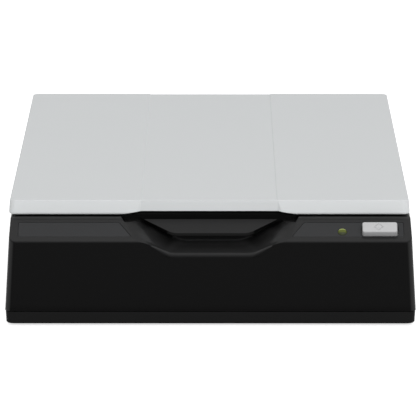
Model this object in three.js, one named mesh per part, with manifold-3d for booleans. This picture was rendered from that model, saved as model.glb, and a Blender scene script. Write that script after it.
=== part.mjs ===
// A compact flatbed scanner. A flat drafted case with a sloped control panel and a finger scoop carries a
// hinged lid with a grip; inside are the platen glass, the sensor carriage on its rod, the belt drive and
// the boards. Millimetres, +Z up, the front looks towards -Y, the origin is under the middle of the case.
import * as THREE from "three";
import { mergeVertices } from "three/addons/utils/BufferGeometryUtils.js";
import Module from "manifold-3d";

const wasm = await Module();
wasm.setup();
const weldDistance = 1e-4;

// Driving sizes of the case
const caseWidth = 145;
const caseDepth = 234;
const footHeight = 0.7;
const seamHeight = 5.25;
const panelRise = 6.85;
const panelAngle = THREE.MathUtils.degToRad(32.5);
const draftSlope = Math.tan(THREE.MathUtils.degToRad(3.2));
const caseWall = 2;
const caseCorner = 2.5;
const seamGap = 0.3;
const baseFloor = 2;
const baseChamfer = 0.6;
const lipHeight = 2;
const lipWall = 1.2;

// Driving sizes of the lid
const lidSide = 1.5;
const lidRearInset = 1.165;
const lidHeight = 5.2;
const lidGap = 0.75;
const lidShift = -0.4;
const lidWall = 2;
const lidCorner = 2.5;
const lidOverhang = 0.2;
const lidSoftEdge = 1.5;
const lidSoftInset = 0.8;
const lidTopInset = 0.5;
const lidTopBreak = 0.35;
const bandWidth = 47;
const bandSink = 0.25;
const facetTopWidth = 49.4;
const facetBottomWidth = 59.4;
const edgeLift = 1;
const liftTopWidth = 48.8;
const liftBottomWidth = 63.6;

// Clearances: between a moving piece and its neighbour, between seated pieces, and past a cut
const runningGap = 0.4;
const seatGap = 0.3;
const overrun = 1;

// Finger scoop in the front, and the grip that hangs in it
const gripCentre = 0.4;
const scoopDrop = 4.9;
const scoopRise = 1;
const scoopDepth = 15.9;
const scoopFootWidth = 28.8;
const scoopRidgeWidth = 50.6;
const scoopTopWidth = 66;
const scoopBackFootWidth = 16;
const scoopBackRidgeWidth = 35;
const scoopBackTopWidth = 61.6;
const gripSink = 2;
const gripLength = 7.5;
const gripTopWidth = 47.2;
const gripFootWidth = 27.4;
const gripPlate = 1.2;
const gripWebWidth = 56;
const gripWeb = 1.2;
const gripFlange = 6;
const gripCornerRadius = 6;

// Control panel, in its own frame: along X, up the slope, and out of the surface
const filmInset = 4.1;
const filmLow = 2.6;
const filmHigh = 9.85;
const filmThickness = 0.4;
const filmMargin = 0.8;
const filmGap = 0.3;
const buttonInset = 12.1;
const buttonUp = 5.65;
const buttonWidth = 12.4;
const buttonLength = 5.1;
const buttonProud = 1.9;
const buttonGap = 0.35;
const buttonCorner = 0.8;
const buttonFlange = 1;
const buttonLip = 0.8;
const buttonStemRadius = 1.2;
const buttonStem = 1.2;
const buttonTravel = 0.8;
const plungerRadius = 0.9;
const plungerLength = 1.9;
const switchSide = 6;
const switchHeight = 2.6;
const lightStep = 13.4;
const lightUp = 4.9;
const lightRadius = 1.5;
const lightDome = 0.8;
const lightPipe = 6.9;
const lightCollar = 0.6;
const lightRing = 1.85;
const ledWidth = 2;
const ledDepth = 1.25;
const ledHeight = 0.8;
const panelBoardWidth = 26;
const panelBoardLength = 11;
const boardThickness = 1.6;
const panelBossRadius = 1.8;

// Platen
const windowSide = 17.5;
const windowFrontInset = 31;
const windowRearInset = 50;
const glassMargin = 8;
const glassThickness = 2;
const stripLength = 8;
const stripThickness = 0.4;
const stripMargin = 1.5;

// Hinge at the rear
const hingeInset = 3.2;
const hingeDrop = 2.45;
const hingePinRadius = 0.95;
const hingeBarrelRadius = 2.3;
const hingeBarrelWidth = 8;
const hingeSideInset = 19.2;
const hingeLug = 5;
const hingeBlockFront = 6.2;
const hingeBlockFloor = 5.4;
const reliefOffset = 1.7;
const reliefDrop = 4.2;
const reliefBevel = 1;
const hingeArmTop = 1.4;

// Inside of the lid
const trayThickness = 1.4;
const trayRim = 2;
const trayRimDrop = 1.9;
const padGap = 0.3;
const padInset = 2.5;
const padSheet = 0.3;
const bumperSide = 8;

// Screws and posts of the case
const postRadius = 3.5;
const postHole = 1.4;
const postSideInset = 8;
const postFrontInset = 19.5;
const postRearInset = 16;
const baseBossRadius = 4.4;
const baseBossTop = 12;
const screwRadius = 1.2;
const screwHead = 2.7;
const screwHeadHeight = 2;
const screwSeat = 6;
const screwLength = 12;
const footRadius = 5;
const footSeat = 0.7;
const footSideInset = 16.5;
const footEndInset = 17;

// Guide rod and carriage
const rodRadius = 3;
const rodHeight = 10;
const rodSpare = 2;
const rodRearInset = 27;
const rodBlockHalf = 5;
const rodBlockLength = 7;
const rodClipTop = 1.2;
const homeSpare = 7;
const travelInset = 6;
const trayBeyond = 8;
const trayLength = 20;
const trayFloorHeight = 16;
const trayFloor = 2;
const trayLip = 6;
const trayWall = 1.6;
const bushWall = 1.2;
const bushHouseHalf = 6.2;
const barBeyond = 5.5;
const barLength = 14;
const springRoom = 3.55;
const barHeight = 10.4;
const barWall = 1.6;
const barTrough = 7.6;
const barWindow = 0.8;
const lensInset = 1.5;
const lensLength = 2.4;
const lensHeight = 4.6;
const guideSide = 3;
const barBoardThickness = 1.2;
const glideLength = 6;
const springWidth = 12;
const springLeaf = 0.3;
const railWidth = 3;
const railInset = 9;
const sliderWidth = 8;
const sliderHeight = 2;

// Drive
const driveSpare = 0.3;
const driveInset = 21;
const idlerInset = 20;
const beltRadius = 5.5;
const beltThickness = 0.8;
const beltLow = 4.3;
const beltWidth = 4;
const pulleyFlange = 7.3;
const flangeThickness = 0.6;
const gearModule = 0.8;
const gearTeeth = 30;
const pinionTeeth = 10;
const gearThickness = 3;
const toothShare = 0.38;
const toothTipShare = 0.16;
const toothFootShare = 0.513;
const addendumShare = 0.75;
const dedendumShare = 1.1;
const axleRadius = 1.5;
const shaftRadius = 1;
const plateHeight = 13;
const plateThickness = 0.8;
const plateLeftReach = 12;
const plateSideGap = 10;
const plateFrontReach = 13;
const plateRearReach = 14;
const motorRadius = 12.3;
const motorHeight = 13;
const motorCrown = 5;
const motorCrownHeight = 1.2;
const platePostRadius = 2.5;
const clampWidth = 5;
const clampLength = 9;
const idlerPlateHalf = 10.2;
const idlerPlateLength = 8;

// Main board, sockets and the flat cable
const boardSideInset = 12.9;
const boardWidth = 47.6;
const boardFrontInset = 33;
const boardRearInset = 4.2;
const boardHeight = 6;
const boardPostRadius = 2.4;
const chipSide = 12;
const chipHeight = 1.6;
const socketStep = 20;
const usbWidth = 12;
const usbHeight = 10.8;
const usbDepth = 15;
const usbMouthWidth = 8.8;
const usbMouthHeight = 7.8;
const usbMouthDepth = 10;
const usbTongueWidth = 5.6;
const usbTongueHeight = 3.2;
const usbTongueSetback = 1.2;
const dcInset = 18.5;
const dcWidth = 9.4;
const dcHeight = 10.6;
const dcDepth = 13;
const dcBore = 3.1;
const dcPin = 1;
const dcPinSetback = 1.5;
const socketSetback = 0.4;
const cableInset = 12;
const cableWidth = 10;
const cableThickness = 0.3;
const cableLow = 4;
const cableBend = 5;
const cableSpare = 13;
const connectorHeight = 2.6;
const connectorDepth = 4;

// Facets of the round shapes
const cornerSteps = 3;
const fineSides = 24;
const coarseSides = 16;

// Places that follow from the sizes above
const insetAt = (z) => (z - seamHeight) * draftSlope;
const sideAt = (z) => caseWidth / 2 - insetAt(z);
const rearAt = (z) => caseDepth / 2 - insetAt(z);
const frontAt = (z) => -rearAt(z);
const floorTop = footHeight + baseFloor;
const barFoot = trayFloorHeight + trayFloor + springRoom;
const glassUnder = barFoot + barHeight + barWindow + seatGap;
const glassTop = glassUnder + glassThickness;
const panelTopHeight = glassTop + caseWall;
const ridgeHeight = panelTopHeight - panelRise;
const scoopFloor = ridgeHeight - scoopDrop;
const hingeHeight = panelTopHeight - hingeDrop;
const ridgeY = frontAt(ridgeHeight);
const panelTopY = ridgeY + (panelTopHeight - ridgeHeight) / Math.tan(panelAngle);
const lidBottom = panelTopHeight + lidGap;
const lidTop = lidBottom + lidHeight;
const lidFront = panelTopY - lidOverhang;
const lidRear = caseDepth / 2 - lidRearInset;
const lidWidth = caseWidth - 2 * lidSide;
const hingeY = lidRear - hingeInset;
const reliefY = hingeY + reliefOffset;
const reliefZ = hingeHeight - reliefDrop;
const windowWidth = caseWidth - 2 * windowSide;
const windowFront = windowFrontInset - caseDepth / 2;
const windowRear = caseDepth / 2 - windowRearInset;
const filmReach = caseWidth - 2 * filmInset;
const buttonAcross = caseWidth / 2 - buttonInset;
const lightAcross = buttonAcross - lightStep;
const hingeCentre = lidWidth / 2 - hingeSideInset;
const postAcross = caseWidth / 2 - postSideInset;
const postFront = caseDepth / 2 - postFrontInset;
const postRear = caseDepth / 2 - postRearInset;
const footAcross = caseWidth / 2 - footSideInset;
const footAlong = caseDepth / 2 - footEndInset;
const rodRear = caseDepth / 2 - rodRearInset;
const carriageHome = rodRear - rodBlockLength - homeSpare - trayLength / 2;
const carriageTravel = carriageHome - windowFront - travelInset;
const rodFront = carriageTravel - carriageHome + trayLength / 2 + rodBlockLength + rodSpare;
const trayWidth = windowWidth + 2 * trayBeyond;
const barWidth = windowWidth + 2 * barBeyond;
const lensWidth = windowWidth - 2 * lensInset;
const railAcross = railInset - trayWidth / 2;
const driveAcross = rodBlockHalf + idlerPlateHalf + platePostRadius + driveSpare;
const driveRear = caseDepth / 2 - driveInset;
const idlerFront = caseDepth / 2 - idlerInset;
const boardLeft = boardSideInset - caseWidth / 2;
const boardRight = boardLeft + boardWidth;
const boardFront = caseDepth / 2 - boardFrontInset;
const boardRear = caseDepth / 2 - boardRearInset;
const dcAcross = dcInset - caseWidth / 2;
const usbAcross = dcAcross + socketStep;
const cableAcross = boardRight - cableInset;
const cableTurn = carriageHome - carriageTravel / 2 - cableSpare;
const panelMatrix = new THREE.Matrix4()
  .makeRotationX(panelAngle)
  .setPosition(0, ridgeY, ridgeHeight);

// Materials
const plastic = (color, roughness = 0.5) => new THREE.MeshStandardMaterial({ color, roughness });
const metal = (color, roughness = 0.35) =>
  new THREE.MeshStandardMaterial({ color, roughness, metalness: 1 });
const lidGrey = plastic(0xc8cbcc, 0.45);
const caseBlack = plastic(0x1c1c1d, 0.35);
const panelGrey = plastic(0x3b3c3f, 0.45);
const gripGrey = plastic(0x343537, 0.45);
const buttonGrey = plastic(0xbcbec0, 0.4);
const padWhite = plastic(0xf2f2f0, 0.7);
const foamGrey = plastic(0x77797a, 0.95);
const rubberBlack = plastic(0x161616, 0.9);
const innerBlack = plastic(0x202022, 0.6);
const gearWhite = plastic(0xe6e2d6, 0.5);
const boardGreen = plastic(0x1d5a36, 0.55);
const chipBlack = plastic(0x121214, 0.5);
const cableWhite = plastic(0xdfe3ea, 0.5);
const lensGreen = plastic(0xb7d65a, 0.2);
const steel = metal(0xb9bcc0);
const zinc = metal(0x9ea3a8, 0.5);
const bronze = metal(0xa8793f, 0.5);
const clearGlass = new THREE.MeshStandardMaterial({
  color: 0xcfe2dc,
  roughness: 0.05,
  transparent: true,
  opacity: 0.4,
});

// A closed geometry as a solid, and a solid as a geometry
function solidOf(geometry) {
  const bare = geometry.clone();
  bare.deleteAttribute("normal");
  bare.deleteAttribute("uv");
  const merged = mergeVertices(bare, weldDistance);
  const mesh = new wasm.Mesh({
    numProp: 3,
    vertProperties: merged.attributes.position.array,
    triVerts: new Uint32Array(merged.index.array),
  });
  return new wasm.Manifold(mesh);
}

function geometryOf(solid) {
  const { vertProperties, triVerts } = solid.getMesh();
  const geometry = new THREE.BufferGeometry();
  geometry.setAttribute("position", new THREE.BufferAttribute(vertProperties, 3));
  geometry.setIndex(new THREE.BufferAttribute(triVerts, 1));
  const flat = geometry.toNonIndexed();
  flat.computeVertexNormals();
  return flat;
}

const join = (first, ...rest) => rest.reduce((sum, next) => sum.add(next), first);
const cut = (first, ...rest) => rest.reduce((sum, next) => sum.subtract(next), first);
const placed = (solid, matrix) => solidOf(geometryOf(solid).applyMatrix4(matrix));
const onPanel = (solid) => placed(solid, panelMatrix);

// A block between three pairs of limits
function block([x0, x1], [y0, y1], [z0, z1]) {
  const geometry = new THREE.BoxGeometry(x1 - x0, y1 - y0, z1 - z0);
  geometry.translate((x0 + x1) / 2, (y0 + y1) / 2, (z0 + z1) / 2);
  return solidOf(geometry);
}

const around = (centre, size) => [centre - size / 2, centre + size / 2];

// Turns local X, Y, Z into the two outline axes and the axis that the outline is drawn along
const alongX = new THREE.Matrix4().set(0, 0, 1, 0, 1, 0, 0, 0, 0, 1, 0, 0, 0, 0, 0, 1);
const alongY = new THREE.Matrix4().set(1, 0, 0, 0, 0, 0, -1, 0, 0, 1, 0, 0, 0, 0, 0, 1);
const alongZ = new THREE.Matrix4();

// An outline of points drawn out between two limits along an axis
function prism(outline, [low, high], axis = alongZ) {
  const shape = new THREE.Shape(outline.map(([a, b]) => new THREE.Vector2(a, b)));
  const geometry = new THREE.ExtrudeGeometry(shape, { depth: high - low, bevelEnabled: false });
  geometry.translate(0, 0, axis === alongY ? -high : low);
  return solidOf(geometry.applyMatrix4(axis));
}

// A round bar between two limits along an axis, through the point [a, b] of the other two
function bar(radius, [a, b], [low, high], axis = alongZ, sides = fineSides) {
  const points = [];
  for (let i = 0; i < sides; i += 1) {
    const angle = ((i + 0.5) * 2 * Math.PI) / sides;
    points.push([a + radius * Math.cos(angle), b + radius * Math.sin(angle)]);
  }
  return prism(points, [low, high], axis);
}

// A rounded rectangle as a closed loop of points
function roundedRect([x0, x1], [y0, y1], radius) {
  const points = [];
  const corners = [
    [x1 - radius, y0 + radius, -0.5],
    [x1 - radius, y1 - radius, 0],
    [x0 + radius, y1 - radius, 0.5],
    [x0 + radius, y0 + radius, 1],
  ];
  for (const [cx, cy, start] of corners) {
    for (let i = 0; i <= cornerSteps; i += 1) {
      const angle = (start + (0.5 * i) / cornerSteps) * Math.PI;
      points.push([cx + radius * Math.cos(angle), cy + radius * Math.sin(angle)]);
    }
  }
  return points;
}

// A closed skin through rings of equally many points, each ring flat and convex
function loft(rings) {
  const count = rings[0].length;
  const positions = rings.flat(2);
  const index = [];
  for (let r = 0; r + 1 < rings.length; r += 1) {
    for (let i = 0; i < count; i += 1) {
      const a = r * count + i;
      const b = r * count + ((i + 1) % count);
      index.push(a, b, b + count, a, b + count, a + count);
    }
  }
  const last = (rings.length - 1) * count;
  for (let i = 1; i + 1 < count; i += 1) {
    index.push(0, i + 1, i);
    index.push(last, last + i, last + i + 1);
  }
  const geometry = new THREE.BufferGeometry();
  geometry.setAttribute("position", new THREE.Float32BufferAttribute(positions, 3));
  geometry.setIndex(index);
  return solidOf(geometry);
}

const ring = (xLimits, yLimits, radius, z) =>
  roundedRect(xLimits, yLimits, radius).map(([x, y]) => [x, y, z]);

// The drafted body of the case at a height, drawn in by a margin
const bodyRing = (z, margin = 0) =>
  ring(
    [-sideAt(z) + margin, sideAt(z) - margin],
    [frontAt(z) + margin, rearAt(z) - margin],
    Math.max(caseCorner - margin, caseCorner / 4),
    z,
  );

const scanner = new THREE.Group();
const lid = new THREE.Group();
const carriage = new THREE.Group();
const panel = new THREE.Group();
lid.position.x = lidShift;
carriage.position.y = carriageHome;
panel.position.set(0, ridgeY, ridgeHeight);
panel.rotation.x = panelAngle;
scanner.add(lid, carriage, panel);

// Adds a solid to a group as a named mesh, placed at a point of that group
function piece(name, solid, material, group = scanner, place = [0, 0, 0]) {
  const mesh = new THREE.Mesh(geometryOf(solid), material);
  mesh.name = name;
  mesh.position.set(...place);
  group.add(mesh);
}

// Half outline in the front view, mirrored about a centre line
const mirrored = (half, centre) => [
  ...half.map(([x, z]) => [centre + x, z]),
  ...half.map(([x, z]) => [centre - x, z]).reverse(),
];

// The space of the finger scoop, grown by a margin for its walls
function scoopSpace(margin) {
  const high = panelTopHeight + overrun + margin;
  const slice = (y, foot, low, ridge, ridgeZ, top) =>
    mirrored(
      [
        [foot / 2 + margin, low - margin],
        [ridge / 2 + margin, ridgeZ],
        [top / 2 + margin, high],
      ],
      gripCentre,
    ).map(([x, z]) => [x, y, z]);
  const mouthY = frontAt(seamHeight) - overrun;
  const backY = frontAt(seamHeight) + scoopDepth + margin;
  const mouth = slice(mouthY, scoopFootWidth, scoopFloor, scoopRidgeWidth, ridgeHeight, scoopTopWidth);
  const back = slice(
    backY,
    scoopBackFootWidth,
    scoopFloor + scoopRise,
    scoopBackRidgeWidth,
    ridgeHeight + scoopRise / 2,
    scoopBackTopWidth,
  );
  return loft([back, mouth]);
}

// Above the sloped panel, sunk by a depth below it
function abovePanel(sink) {
  const far = caseWidth;
  return onPanel(block([-far, far], [-far, far], [-sink, far]));
}

// The outer body between two heights, with the sloped panel cut
function outerBody(low, high) {
  return cut(loft([bodyRing(low), bodyRing(high)]), abovePanel(0));
}

// Posts for the four case screws
const postPlaces = [
  [-postAcross, -postFront, "front_left"],
  [postAcross, -postFront, "front_right"],
  [-postAcross, postRear, "rear_left"],
  [postAcross, postRear, "rear_right"],
];

// Hinge blocks: solid blocks under the deck, slotted for the lid's barrels
const hingeSides = [
  [-hingeCentre, "left"],
  [hingeCentre, "right"],
];
const hingeSlotWidth = hingeBarrelWidth + 2 * seatGap;
const hingeBlockWidth = hingeSlotWidth + 2 * hingeLug;

function hingeBlock(x) {
  const low = hingeHeight - hingeBlockFloor;
  return block(
    around(x + lidShift, hingeBlockWidth),
    [hingeY - hingeBlockFront, reliefY],
    [low, panelTopHeight],
  );
}

function hingeCuts(x) {
  const reach = hingeBarrelRadius + runningGap;
  const slotX = around(x + lidShift, hingeSlotWidth);
  const slotFront = hingeY - reach - seatGap;
  const slot = block(
    slotX,
    [slotFront, lidRear + caseWall],
    [hingeHeight - reach - seatGap, panelTopHeight + overrun],
  );
  const pinHole = bar(
    hingePinRadius + seatGap,
    [hingeY, hingeHeight],
    around(x + lidShift, hingeBlockWidth + 2 * overrun),
    alongX,
    coarseSides,
  );
  return join(slot, pinHole);
}

// The step along the rear edge that the lid's rear edge turns into
function rearRelief() {
  const bevelTop = hingeHeight + reliefOffset;
  return prism(
    [
      [reliefY, reliefZ],
      [caseDepth, reliefZ],
      [caseDepth, panelTopHeight + overrun],
      [reliefY - reliefBevel, panelTopHeight + overrun],
      [reliefY - reliefBevel, panelTopHeight],
      [reliefY, bevelTop],
    ],
    around(0, caseWidth + 2 * overrun),
    alongX,
  );
}

// Outline of a panel film from the case side to the scoop's mouth
function filmOutline(side, grow) {
  const reach = filmReach / 2 + grow;
  const low = filmLow - grow;
  const high = filmHigh + grow;
  const slopeShare = (up) => (up * Math.sin(panelAngle)) / (panelTopHeight - ridgeHeight);
  const edge = (up) =>
    scoopRidgeWidth / 2 +
    slopeShare(up) * ((scoopTopWidth - scoopRidgeWidth) / 2) +
    filmMargin +
    filmGap -
    grow;
  return [
    [side * reach, low],
    [side * reach, high],
    [gripCentre + side * edge(high), high],
    [gripCentre + side * edge(low), low],
  ];
}

const filmRecess = (side) =>
  prism(filmOutline(side, filmGap), [-filmThickness - filmGap, overrun]);

const buttonHole = (grow) =>
  prism(
    roundedRect(
      around(buttonAcross, buttonWidth + 2 * grow),
      around(buttonUp, buttonLength + 2 * grow),
      buttonCorner,
    ),
    [-caseWall * 2, overrun * 2],
  );

const lightHole = (radius) =>
  bar(radius, [lightAcross, lightUp], [-caseWall * 2, overrun * 2], alongZ, coarseSides);

// Bosses under the panel that carry the small panel board
const stemFoot = -caseWall - seatGap - buttonFlange - buttonStem;
const plungerTop = stemFoot - seatGap;
const switchTop = stemFoot - buttonTravel - seatGap;
const panelBoardTop = switchTop - switchHeight;
const panelBoardCentre = (lightAcross + buttonAcross) / 2 + panelBossRadius / 2;
const panelBossPlaces = [
  [panelBoardCentre - panelBoardWidth / 2 + panelBossRadius, panelBoardLength - panelBossRadius],
  [(lightAcross + buttonAcross - buttonWidth / 2) / 2, panelBoardLength - panelBossRadius],
];

function upperCase() {
  const outer = outerBody(seamHeight + seamGap, panelTopHeight);
  const hollow = cut(
    loft([bodyRing(seamHeight - overrun, caseWall), bodyRing(glassTop, caseWall)]),
    abovePanel(caseWall),
  );
  // The wall behind the rear relief
  const rearWall = block(
    around(0, caseWidth),
    [reliefY - caseWall, rearAt(seamHeight)],
    [reliefZ - caseWall, panelTopHeight],
  );
  let shell = cut(outer, cut(hollow, rearWall));
  const inside = loft([bodyRing(seamHeight, lipWall), bodyRing(panelTopHeight, lipWall)]);
  const clipped = (solid) => solid.intersect(cut(inside, abovePanel(caseWall / 2)));
  const post = ([x, y]) => bar(postRadius, [x, y], [baseBossTop + seatGap, panelTopHeight]);
  const bosses = panelBossPlaces.map(([x, up]) =>
    onPanel(bar(panelBossRadius, [x, up], [panelBoardTop + seatGap, -caseWall / 2])),
  );
  shell = join(
    shell,
    clipped(scoopSpace(caseWall)),
    ...postPlaces.map((place) => clipped(post(place))),
    ...hingeSides.map(([x]) => clipped(hingeBlock(x))),
    ...bosses,
  );
  const window = block(
    around(0, windowWidth),
    [windowFront, windowRear],
    [glassTop - overrun, panelTopHeight + overrun],
  );
  const strip = block(
    around(0, windowWidth + 2 * stripMargin),
    [windowRear - overrun, windowRear + stripLength + seatGap],
    [glassTop - overrun, glassTop + stripThickness + seatGap],
  );
  const pilots = postPlaces.map(([x, y]) =>
    bar(postHole, [x, y], [baseBossTop, baseBossTop + screwLength], alongZ, coarseSides),
  );
  const sockets = [
    [usbAcross, usbWidth, usbHeight],
    [dcAcross, dcWidth, dcHeight],
  ].map(([x, width, height]) =>
    block(
      around(x, width + 2 * seatGap),
      [rearAt(seamHeight) - 4 * caseWall, rearAt(seamHeight) + overrun],
      [boardHeight + boardThickness - seatGap, boardHeight + boardThickness + height + 2 * seatGap],
    ),
  );
  return cut(
    shell,
    scoopSpace(0),
    window,
    strip,
    rearRelief(),
    ...hingeSides.map(([x]) => hingeCuts(x)),
    ...pilots,
    ...sockets,
    onPanel(filmRecess(-1)),
    onPanel(filmRecess(1)),
    onPanel(buttonHole(buttonGap)),
    onPanel(lightHole(lightRadius + seatGap / 2)),
  );
}

// Gear outline: straight-sided teeth, narrower than their gaps
function gearOutline(teeth, phase, [cx, cy]) {
  const pitchRadius = (teeth * gearModule) / 2;
  const tipRadius = pitchRadius + addendumShare * gearModule;
  const rootRadius = pitchRadius - dedendumShare * gearModule;
  const points = [];
  const at = (radius, turn) => {
    const angle = (turn / teeth) * 2 * Math.PI + phase;
    points.push([cx + radius * Math.cos(angle), cy + radius * Math.sin(angle)]);
  };
  for (let i = 0; i < teeth; i += 1) {
    at(rootRadius, i - toothFootShare / 2);
    at(pitchRadius, i - toothShare / 2);
    at(tipRadius, i - toothTipShare / 2);
    at(tipRadius, i + toothTipShare / 2);
    at(pitchRadius, i + toothShare / 2);
    at(rootRadius, i + toothFootShare / 2);
  }
  return points;
}

// Lower case: a shallow tray with a lip inside the seam, and everything that stands on its floor
const beltHigh = beltLow + beltWidth;
const gearLow = beltHigh + seatGap;
const gearHigh = gearLow + gearThickness;
const gearRadius = (gearTeeth * gearModule) / 2;
const pinionRadius = (pinionTeeth * gearModule) / 2;
const motorAcross = driveAcross + gearRadius + pinionRadius;
const plateLeft = driveAcross - plateLeftReach;
const plateRight = postAcross - postRadius - plateSideGap;
const plateFront = driveRear - plateFrontReach;
const plateRear = driveRear + plateRearReach;
const platePosts = [
  [plateRight - platePostRadius, plateFront + platePostRadius],
  [plateRight - platePostRadius, plateRear - platePostRadius],
  [plateLeft + platePostRadius, plateRear - platePostRadius / 2],
];
const idlerPosts = [driveAcross - idlerPlateHalf, driveAcross + idlerPlateHalf];
const boardPosts = [
  [boardLeft + 2 * boardPostRadius, boardFront + 2 * boardPostRadius],
  [boardRight - 2 * boardPostRadius, boardFront + 2 * boardPostRadius],
];
const rodBlocks = [
  [-rodFront, -rodFront + rodBlockLength, "front"],
  [rodRear - rodBlockLength, rodRear, "rear"],
];
const idlerPlateHeight = gearLow + flangeThickness + runningGap;

function lowerCase() {
  const outer = loft([
    ring(
      around(0, caseWidth - 4 * baseChamfer),
      around(0, caseDepth - 4 * baseChamfer),
      caseCorner,
      footHeight,
    ),
    ring(
      around(0, caseWidth - 2 * baseChamfer),
      around(0, caseDepth - 2 * baseChamfer),
      caseCorner,
      footHeight + baseChamfer,
    ),
    bodyRing(seamHeight),
  ]);
  const inner = caseWall + lipWall;
  const hollow = loft([bodyRing(floorTop, inner), bodyRing(seamHeight + overrun, inner)]);
  const lipLow = seamHeight - lipWall;
  const lipTop = seamHeight + lipHeight;
  const lip = cut(
    loft([bodyRing(lipLow, caseWall + seatGap), bodyRing(lipTop, caseWall + seatGap)]),
    loft([
      bodyRing(lipLow - overrun, inner + seatGap),
      bodyRing(lipTop + overrun, inner + seatGap),
    ]),
  );
  const floorUp = (radius, x, y, top, sides = coarseSides) =>
    bar(radius, [x, y], [floorTop - baseFloor / 2, top], alongZ, sides);
  const stand = [
    ...postPlaces.map(([x, y]) => floorUp(baseBossRadius, x, y, baseBossTop)),
    ...platePosts.map(([x, y]) => floorUp(platePostRadius, x, y, plateHeight)),
    ...idlerPosts.map((x) => floorUp(platePostRadius, x, -idlerFront, idlerPlateHeight)),
    ...boardPosts.map(([x, y]) => floorUp(boardPostRadius, x, y, boardHeight)),
    ...rodBlocks.map(([front, rear]) =>
      cut(
        block(around(0, 2 * rodBlockHalf), [front, rear], [floorTop - baseFloor / 2, rodHeight]),
        bar(
          rodRadius + seatGap,
          [0, rodHeight],
          [front - overrun, rear + overrun],
          alongY,
        ),
      ),
    ),
    block(
      around(railAcross, railWidth),
      [-rodFront, rodRear - rodBlockLength],
      [floorTop - baseFloor / 2, trayFloorHeight - sliderHeight - 2 * seatGap],
    ),
  ];
  const screwHoles = postPlaces.flatMap(([x, y]) => [
    bar(screwRadius + seatGap, [x, y], [0, baseBossTop + overrun], alongZ, coarseSides),
    bar(screwHead + seatGap, [x, y], [0, screwSeat], alongZ, coarseSides),
  ]);
  const footSeats = footPlaces().map(([x, y]) =>
    bar(footRadius + seatGap, [x, y], [0, footHeight + footSeat]),
  );
  const socketNotch = block(
    [dcAcross - dcWidth, usbAcross + usbWidth],
    [rearAt(seamHeight) - caseWall - lipWall - 2 * seatGap, rearAt(seamHeight) - caseWall],
    [seamHeight, lipTop + overrun],
  );
  return cut(
    join(cut(outer, hollow), lip, ...stand),
    ...screwHoles,
    ...footSeats,
    socketNotch,
  );
}

function footPlaces() {
  return [
    [-footAcross, -footAlong, "front_left"],
    [footAcross, -footAlong, "front_right"],
    [-footAcross, footAlong, "rear_left"],
    [footAcross, footAlong, "rear_right"],
  ];
}

piece("lower_case", lowerCase(), caseBlack);
piece("upper_case", upperCase(), caseBlack);

// Rubber feet, seated in round recesses of the base
for (const [x, y, place] of footPlaces()) {
  piece(`foot_${place}`, bar(footRadius, [x, y], [0, footHeight + footSeat - seatGap]), rubberBlack);
}

// Case screws, from below through the bosses into the posts
for (const [x, y, place] of postPlaces) {
  const head = bar(screwHead, [x, y], [screwSeat - screwHeadHeight, screwSeat], alongZ, coarseSides);
  const shank = bar(screwRadius, [x, y], [screwSeat - seatGap, screwSeat + screwLength], alongZ, coarseSides);
  piece(`case_screw_${place}`, join(head, shank), zinc);
}

// A turned shape about the local Z axis, its profile running from the axis to the axis
function turned(profile, [x, y], sides = coarseSides) {
  const points = profile.map(([radius, z]) => new THREE.Vector2(radius, z));
  const geometry = new THREE.LatheGeometry(points, sides);
  geometry.rotateX(Math.PI / 2);
  geometry.translate(x, y, 0);
  return solidOf(geometry);
}

// Films laid in the recesses of the control panel, in the panel's frame
const buttonNotch = block(
  around(buttonAcross, buttonWidth + 2 * buttonGap),
  [filmLow - overrun, buttonUp + buttonLength / 2 + buttonGap],
  [-caseWall, overrun],
);
const film = (side) => prism(filmOutline(side, 0), [-filmThickness, 0]);
piece("panel_film_left", film(-1), panelGrey, panel);
piece("panel_film_right", cut(film(1), buttonNotch, lightHole(lightRing)), panelGrey, panel);

// Scan button: cap through the panel, a flange behind it and a stem down to the switch
function scanButton() {
  const capLow = -caseWall - seatGap;
  const flangeLow = capLow - buttonFlange;
  const outline = (grow) =>
    roundedRect(
      around(buttonAcross, buttonWidth + 2 * grow),
      around(buttonUp, buttonLength + 2 * grow),
      buttonCorner,
    );
  const cap = prism(outline(0), [flangeLow, buttonProud]);
  const flange = prism(outline(buttonLip), [flangeLow, capLow]);
  const stem = bar(
    buttonStemRadius,
    [buttonAcross, buttonUp],
    [stemFoot, capLow],
    alongZ,
    coarseSides,
  );
  return join(cap, flange, stem);
}
piece("scan_button", scanButton(), buttonGrey, panel);

// Push switch under the button: the plunger moves with the button, the body stands on the panel board
piece(
  "switch_plunger",
  bar(plungerRadius, [buttonAcross, buttonUp], [plungerTop - plungerLength, plungerTop], alongZ, coarseSides),
  innerBlack,
  panel,
);
piece(
  "switch_body",
  cut(
    block(around(buttonAcross, switchSide), around(buttonUp, switchSide), [panelBoardTop, switchTop]),
    bar(
      plungerRadius + seatGap,
      [buttonAcross, buttonUp],
      [panelBoardTop - overrun, switchTop + overrun],
      alongZ,
      coarseSides,
    ),
  ),
  zinc,
  panel,
);

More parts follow.
